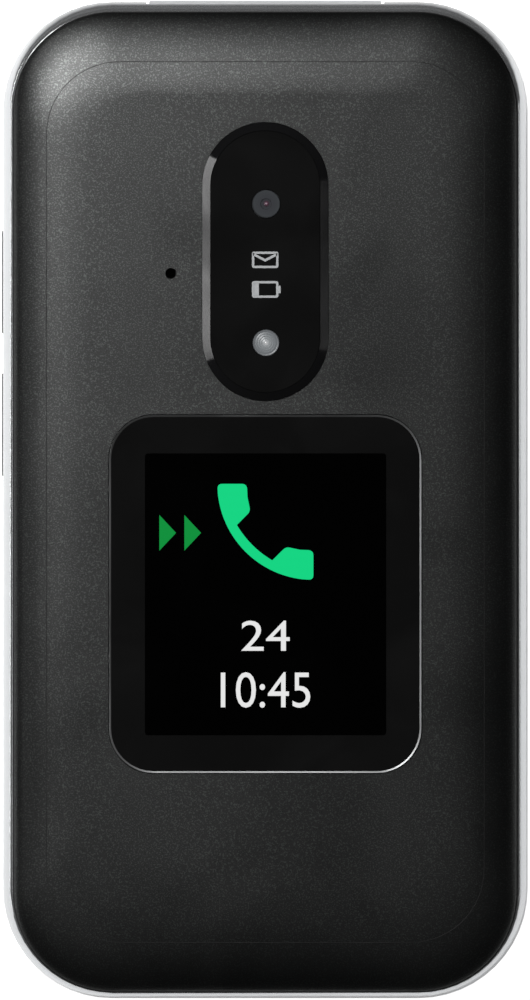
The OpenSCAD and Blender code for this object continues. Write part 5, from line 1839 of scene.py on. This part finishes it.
@dataclass
class Base:
    """Frames, back covers, port, battery and the pieces behind them."""

    finishes: Finishes
    generators: Generators
    speaker: Point = (0.0, 18.0, 1.25)
    speaker_size: Flat = (19.0, 6.2)
    mesh_pitch: float = 0.36
    mesh_wire: float = 0.13
    assist: Point = (0.0, 28.995, 6.0)
    assist_face_z: float = 0.25
    port_y: float = -54.3
    port_z: float = 4.75
    port_contacts: int = 12
    port_pitch: float = 0.5
    port_contact_y: float = 2.6
    port_half_tongue: float = 0.355
    port_bar: Point = (0.25, 3.4, 0.03)
    label: Plan = Plan(34.0, 30.0, 1.0, 0.0, -15.5)
    label_z: Flat = (1.19, 1.21)
    battery_contacts: int = 4
    battery_first: Point = (-3.3, 12.3, 2.98)
    battery_pitch: float = 2.2
    battery_bar: Point = (1.0, 2.4, 0.06)
    screws: tuple[Point, ...] = ((-20.5, -48.5, 2.75), (20.5, -48.5, 2.75), (-24.2, 36.8, 2.75),
                                 (24.2, 36.8, 2.75))
    lip: tuple[Flat, ...] = ((25.1, 0.3), (25.8, 0.6), (26.35, 1.0), (26.9, 1.6), (27.1, 2.2),
                             (27.2, 2.55))
    lip_span: Flat = (12.0, 12.42)

    def build(self) -> None:
        """Dresses the base's nodes and adds what the CAD leaves plain."""
        for node, name, finish, body, slot in (
                ("base_front_frame", "keypad_deck", "deck", Body.BASE, Slot.FRAME),
                ("base_rear_shell", "base_shell", "frame", Body.BASE, Slot.FRAME),
                ("rear_cap", "rear_cap_shell", "cover", Body.BASE, Slot.COVER),
                ("battery_cover", "battery_cover_shell", "cover", Body.BATTERY_COVER, Slot.COVER)):
            smoothed_node(node, name, self.finishes[finish], body, slot)
        self._lip()
        self._speaker_mesh()
        self._assist_key()
        self._port()
        self._power()

    def _lip(self) -> None:
        """Closes the seam between battery cover and rear cap from inside, as a lip on the cap."""
        near, far = self.lip_span
        rings = [[(-half, near, z), (half, near, z), (half, far, z), (-half, far, z)]
                 for half, z in self.lip]
        lip = Shape().loft(rings).as_object("rear_cap_lip", self.finishes["gasket"])
        settle(lip, Body.BASE, Slot.COVER)

    def _speaker_mesh(self) -> None:
        """Lays the wire mesh behind the loudspeaker's slots."""
        width, length = self.speaker_size
        mesh = self.generators.make(self.generators.wire_mesh, "loudspeaker_mesh",
                                    self.finishes["mesh_wire"],
                                    Width=width * MM, Length=length * MM,
                                    Pitch=self.mesh_pitch * MM, Wire=self.mesh_wire * MM,
                                    Place=tuple(c * MM for c in self.speaker))
        settle(mesh, Body.BASE, Slot.BLACK)

    def _assist_key(self) -> None:
        """Turns the assistance key: dished face, rounded edge, flange and stem."""
        x, y, radius = self.assist
        face = self.assist_face_z
        profile = [(0.02, face + 0.2), (1.6, face + 0.18), (3.6, face + 0.1),
                   (radius - 0.9, face + 0.02), (radius - 0.5, face), (radius - 0.12, face + 0.1),
                   (radius, face + 0.35), (radius, 1.15), (6.9, 1.15), (6.9, 1.65), (1.5, 1.65),
                   (1.5, 5.33)]
        key = Shape().lathe(x, y, profile).as_object("assist_key_cap", self.finishes["assist"])
        settle(key, Body.ASSIST_KEY, Slot.ASSIST, "assist_key")

    def _bars(self, name: str, count: int, first: Point, pitch: float, size: Point) -> None:
        """Lays a row of gold-plated contacts.

        Args:
            name: the piece's name.
            count: how many.
            first: the middle of the first one.
            pitch: how far apart, across.
            size: one contact's width, length and thickness.
        """
        row = self.generators.make(self.generators.row, name, self.finishes["brass"], Count=count,
                                   First=tuple(c * MM for c in first), Step=(pitch * MM, 0.0, 0.0),
                                   Bar=tuple(c * MM for c in size))
        settle(row, Body.BASE, Slot.BRASS)

    def _port(self) -> None:
        """Adds the contacts on the charging port's tongue, above and below it."""
        first_x = -(self.port_contacts - 1) / 2 * self.port_pitch
        for name, side in (("port_contacts_upper", 1), ("port_contacts_lower", -1)):
            first = (first_x, self.port_y + self.port_contact_y,
                     self.port_z + side * self.port_half_tongue)
            self._bars(name, self.port_contacts, first, self.port_pitch, self.port_bar)

    def _power(self) -> None:
        """Adds the battery's label and contacts, and the screws with their crossed recess."""
        label = Shape().loft([self.label.ring(z, 5) for z in self.label_z])
        settle(label.as_object("battery_label", self.finishes["label"]), Body.BASE, Slot.BATTERY)
        self._bars("battery_contacts", self.battery_contacts, self.battery_first,
                   self.battery_pitch, self.battery_bar)
        screws = self.generators.make(self.generators.screw_heads, "base_screws_crosshead",
                                      self.finishes["steel"], self.screws)
        settle(screws, Body.BASE, Slot.STEEL, "base_screws")


class Carried:
    """CAD nodes whose shape is right and that only need their finish."""

    FINISH_BY_NODE: dict[str, str] = {
        "battery_pack": "battery", "battery_connector": "black", "main_board": "laminate",
        "key_domes": "steel", "keypad_mat": "mat", "nav_pivot_pad": "steel",
        "volume_up_key": "key", "volume_down_key": "key", "tact_switches": "steel",
        "base_microphone": "steel", "loudspeaker": "black", "usb_port": "steel",
        "sim_holder": "steel", "vibration_motor": "steel", "flex_cable_base": "film",
        "flex_cable_lid": "film", "hinge_cartridge": "steel", "hinge_spring": "steel",
        "hinge_shaft": "steel", "hinge_pivot_bush": "brass", "lid_screws": "steel",
        "lid_bumpers": "rubber", "camera_module": "black", "outer_display": "display",
        # lid_microphone takes the near-black seam plastic so that it stays dark under its hole:
        # painted shade where the key light falls on it.
        "main_display": "display", "lid_board": "laminate", "lid_microphone": "gasket",
        "earpiece": "black",
    }

    def __init__(self, finishes: Finishes) -> None:
        """Keeps the finishes."""
        self.finishes = finishes

    def build(self) -> None:
        """Gives each node its finish and leaves its mesh alone."""
        for node, finish in self.FINISH_BY_NODE.items():
            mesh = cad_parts[node].data
            mesh.materials.clear()
            mesh.materials.append(self.finishes[finish])
            LOG.info("finish %s on %s", finish, node)


# ---- Studio --------------------------------------------------------------------------------------


@dataclass
class Studio:
    """Camera, floor, lamps and world. Floor and lamps are in metres and watts."""

    distance: float = 2.4
    sensor: float = 36.0
    frame_height: float = 109.61
    centre: Flat = (-0.03, 0.0)
    plane_z: float = 17.0
    world_fill: float = 0.25
    mirrored_fill: float = 0.01
    horizon: float = 0.03
    horizon_top: float = 0.7
    floor_size: float = 8000.0
    opening: Plan = Plan(50.0, 100.0, 8.0)
    floor_greys: tuple[int, int] = (236, 242)
    floor_grain: float = 40.0
    floor_seen: float = 0.93
    floor_mirrored: float = 0.2
    # Past this span along Y the floor is black to gloss: a painted dark reflection for the rim at
    # the hinge end.
    dark_reflection_span: Flat = (0.054, 0.07)
    dark_reflection_share: float = 0.05
    lamps: tuple[tuple[str, Point, tuple[float, float], float], ...] = (
        ("key_softbox", (-0.125, 0.166, 0.43), (0.07, 0.07), 1.38),
        ("left_strip", (-0.35, 0.045, 0.045), (0.34, 0.012), 0.082),
        ("left_high", (-0.36, 0.02, 0.34), (0.14, 0.14), 0.06),
        ("upper_left_mid", (-0.27, 0.3, 0.32), (0.16, 0.16), 0.27),
        ("right_low", (0.5, 0.0, 0.1), (0.16, 0.06), 0.04),
        ("lamp_below", (0.0, -0.1, -0.5), (0.25, 0.25), 1.5),
    )

    def build(self) -> None:
        """Sets the studio up."""
        self._camera()
        self._floor()
        self._lamps()
        self._world()
        bpy.context.scene.view_settings.view_transform = "Standard"

    def _camera(self) -> None:
        """Looks straight down with a long lens."""
        data = bpy.data.cameras.new("camera")
        data.sensor_fit = "VERTICAL"
        data.sensor_height = data.sensor_width = self.sensor
        data.lens = self.sensor * self.distance / (self.frame_height * MM)
        data.clip_start, data.clip_end = 0.1, 50.0
        camera = bpy.data.objects.new("camera", data)
        across, along = self.centre
        camera.location = (across * MM, along * MM, self.plane_z * MM + self.distance)
        bpy.context.scene.collection.objects.link(camera)
        bpy.context.scene.camera = camera

    def _floor(self) -> None:
        """Lays a pale floor, clear from below and open under the phone to light its back.

        It glows to the camera, and less so in gloss. Past the hinge end it turns black to gloss, a
        painted dark reflection that darkens the frame's rim at the hinge end.
        """
        material, nodes, shader = new_material("pale_floor", Roughness=0.9)
        grain = nodes.add("ShaderNodeTexNoise", {"Scale": self.floor_grain}).outputs["Fac"]
        dull, pale = (linear(grey, grey, grey) for grey in self.floor_greys)
        tone = nodes.mix(grain, dull, pale)
        path = nodes.add("ShaderNodeLightPath").outputs
        place = nodes.add("ShaderNodeNewGeometry").outputs["Position"]
        along = nodes.add("ShaderNodeSeparateXYZ", {0: place}).outputs["Y"]
        # Painted dark reflection: past the hinge end the floor turns black in gloss and its glow
        # there fades.
        kept = nodes.span(along, *self.dark_reflection_span, 1.0, self.dark_reflection_share)
        painted_dark_reflection = nodes.math("MULTIPLY", nodes.math("SUBTRACT", 1.0, kept), path["Is Glossy Ray"])
        nodes.plug(nodes.mix(painted_dark_reflection, tone, linear(0, 0, 0)), shader, "Base Color")
        mirrored = nodes.math("MULTIPLY", kept, self.floor_mirrored)
        glow = nodes.math("ADD", nodes.math("MULTIPLY", path["Is Camera Ray"], self.floor_seen),
                          nodes.math("MULTIPLY", path["Is Glossy Ray"], mirrored))
        lift = nodes.add("ShaderNodeEmission", {"Color": (1.0, 1.0, 1.0, 1.0), "Strength": glow})
        lit = nodes.add("ShaderNodeAddShader", {0: shader.outputs[0], 1: lift.outputs[0]})
        clear = nodes.add("ShaderNodeBsdfTransparent")
        below = nodes.add("ShaderNodeNewGeometry").outputs["Backfacing"]
        both = nodes.add("ShaderNodeMixShader", {0: below, 1: lit.outputs[0], 2: clear.outputs[0]})
        output = next(n for n in nodes.tree.nodes if n.type == "OUTPUT_MATERIAL")
        nodes.plug(both.outputs[0], output, "Surface")
        shape = Shape()
        outside = Plan(self.floor_size, self.floor_size, 1.0).ring(0.0, 1)
        shape.sheet_with_holes([shape.verts(outside), shape.verts(self.opening.ring(0.0, 6))],
                               up=True)
        shape.as_object("floor", material)

    def _lamps(self) -> None:
        """Hangs soft boxes round the phone, each turned to it."""
        for name, place, size, watts in self.lamps:
            data = bpy.data.lights.new(name, "AREA")
            data.shape, data.energy, (data.size, data.size_y) = "RECTANGLE", watts, size
            lamp = bpy.data.objects.new(name, data)
            lamp.location = place
            lamp.rotation_euler = (-Vector(place)).to_track_quat("-Z", "Y").to_euler()
            bpy.context.scene.collection.objects.link(lamp)

    def _world(self) -> None:
        """Fills in softly, white to the camera and with a dim horizon in gloss and glass."""
        world = bpy.data.worlds.new("studio")
        bpy.context.scene.world = world
        world.use_nodes = True
        nodes = Nodes(world.node_tree)
        background = next(n for n in nodes.tree.nodes if n.type == "BACKGROUND")
        background.inputs["Color"].default_value = (1.0, 1.0, 1.0, 1.0)
        path = nodes.add("ShaderNodeLightPath")
        direction = nodes.add("ShaderNodeTexCoord").outputs["Generated"]
        height = nodes.add("ShaderNodeSeparateXYZ", {0: direction}).outputs["Z"]
        horizon = nodes.span(height, 0.0, self.horizon_top, self.horizon, self.mirrored_fill)
        mirrored = nodes.math("MAXIMUM", path.outputs["Is Glossy Ray"],
                              path.outputs["Is Transmission Ray"])
        lit = nodes.add("ShaderNodeMix", {0: mirrored, 2: self.world_fill, 3: horizon}).outputs[0]
        strength = nodes.math("MAXIMUM", lit, path.outputs["Is Camera Ray"])
        nodes.plug(strength, background, "Strength")


def main() -> None:
    """Builds every sub-assembly in order."""
    logging.basicConfig(level=logging.INFO, format="%(name)s: %(message)s")
    finishes = Finishes()
    generators = Generators()
    Studio().build()
    Carried(finishes).build()
    smoothed_node("lid_frame", "lid_frame_shell", finishes["frame"], Body.LID, Slot.FRAME,
                  crease=34.0, flat_edge=12.0)
    for part in (LidCover(finishes, generators), CameraIsland(finishes), OuterDisplay(finishes),
                 LidInside(finishes, generators), Keypad(finishes),
                 NavigationKeys(finishes, generators), Base(finishes, generators)):
        part.build()
        LOG.info("built %s", type(part).__name__)


if __name__ == "__main__":
    main()
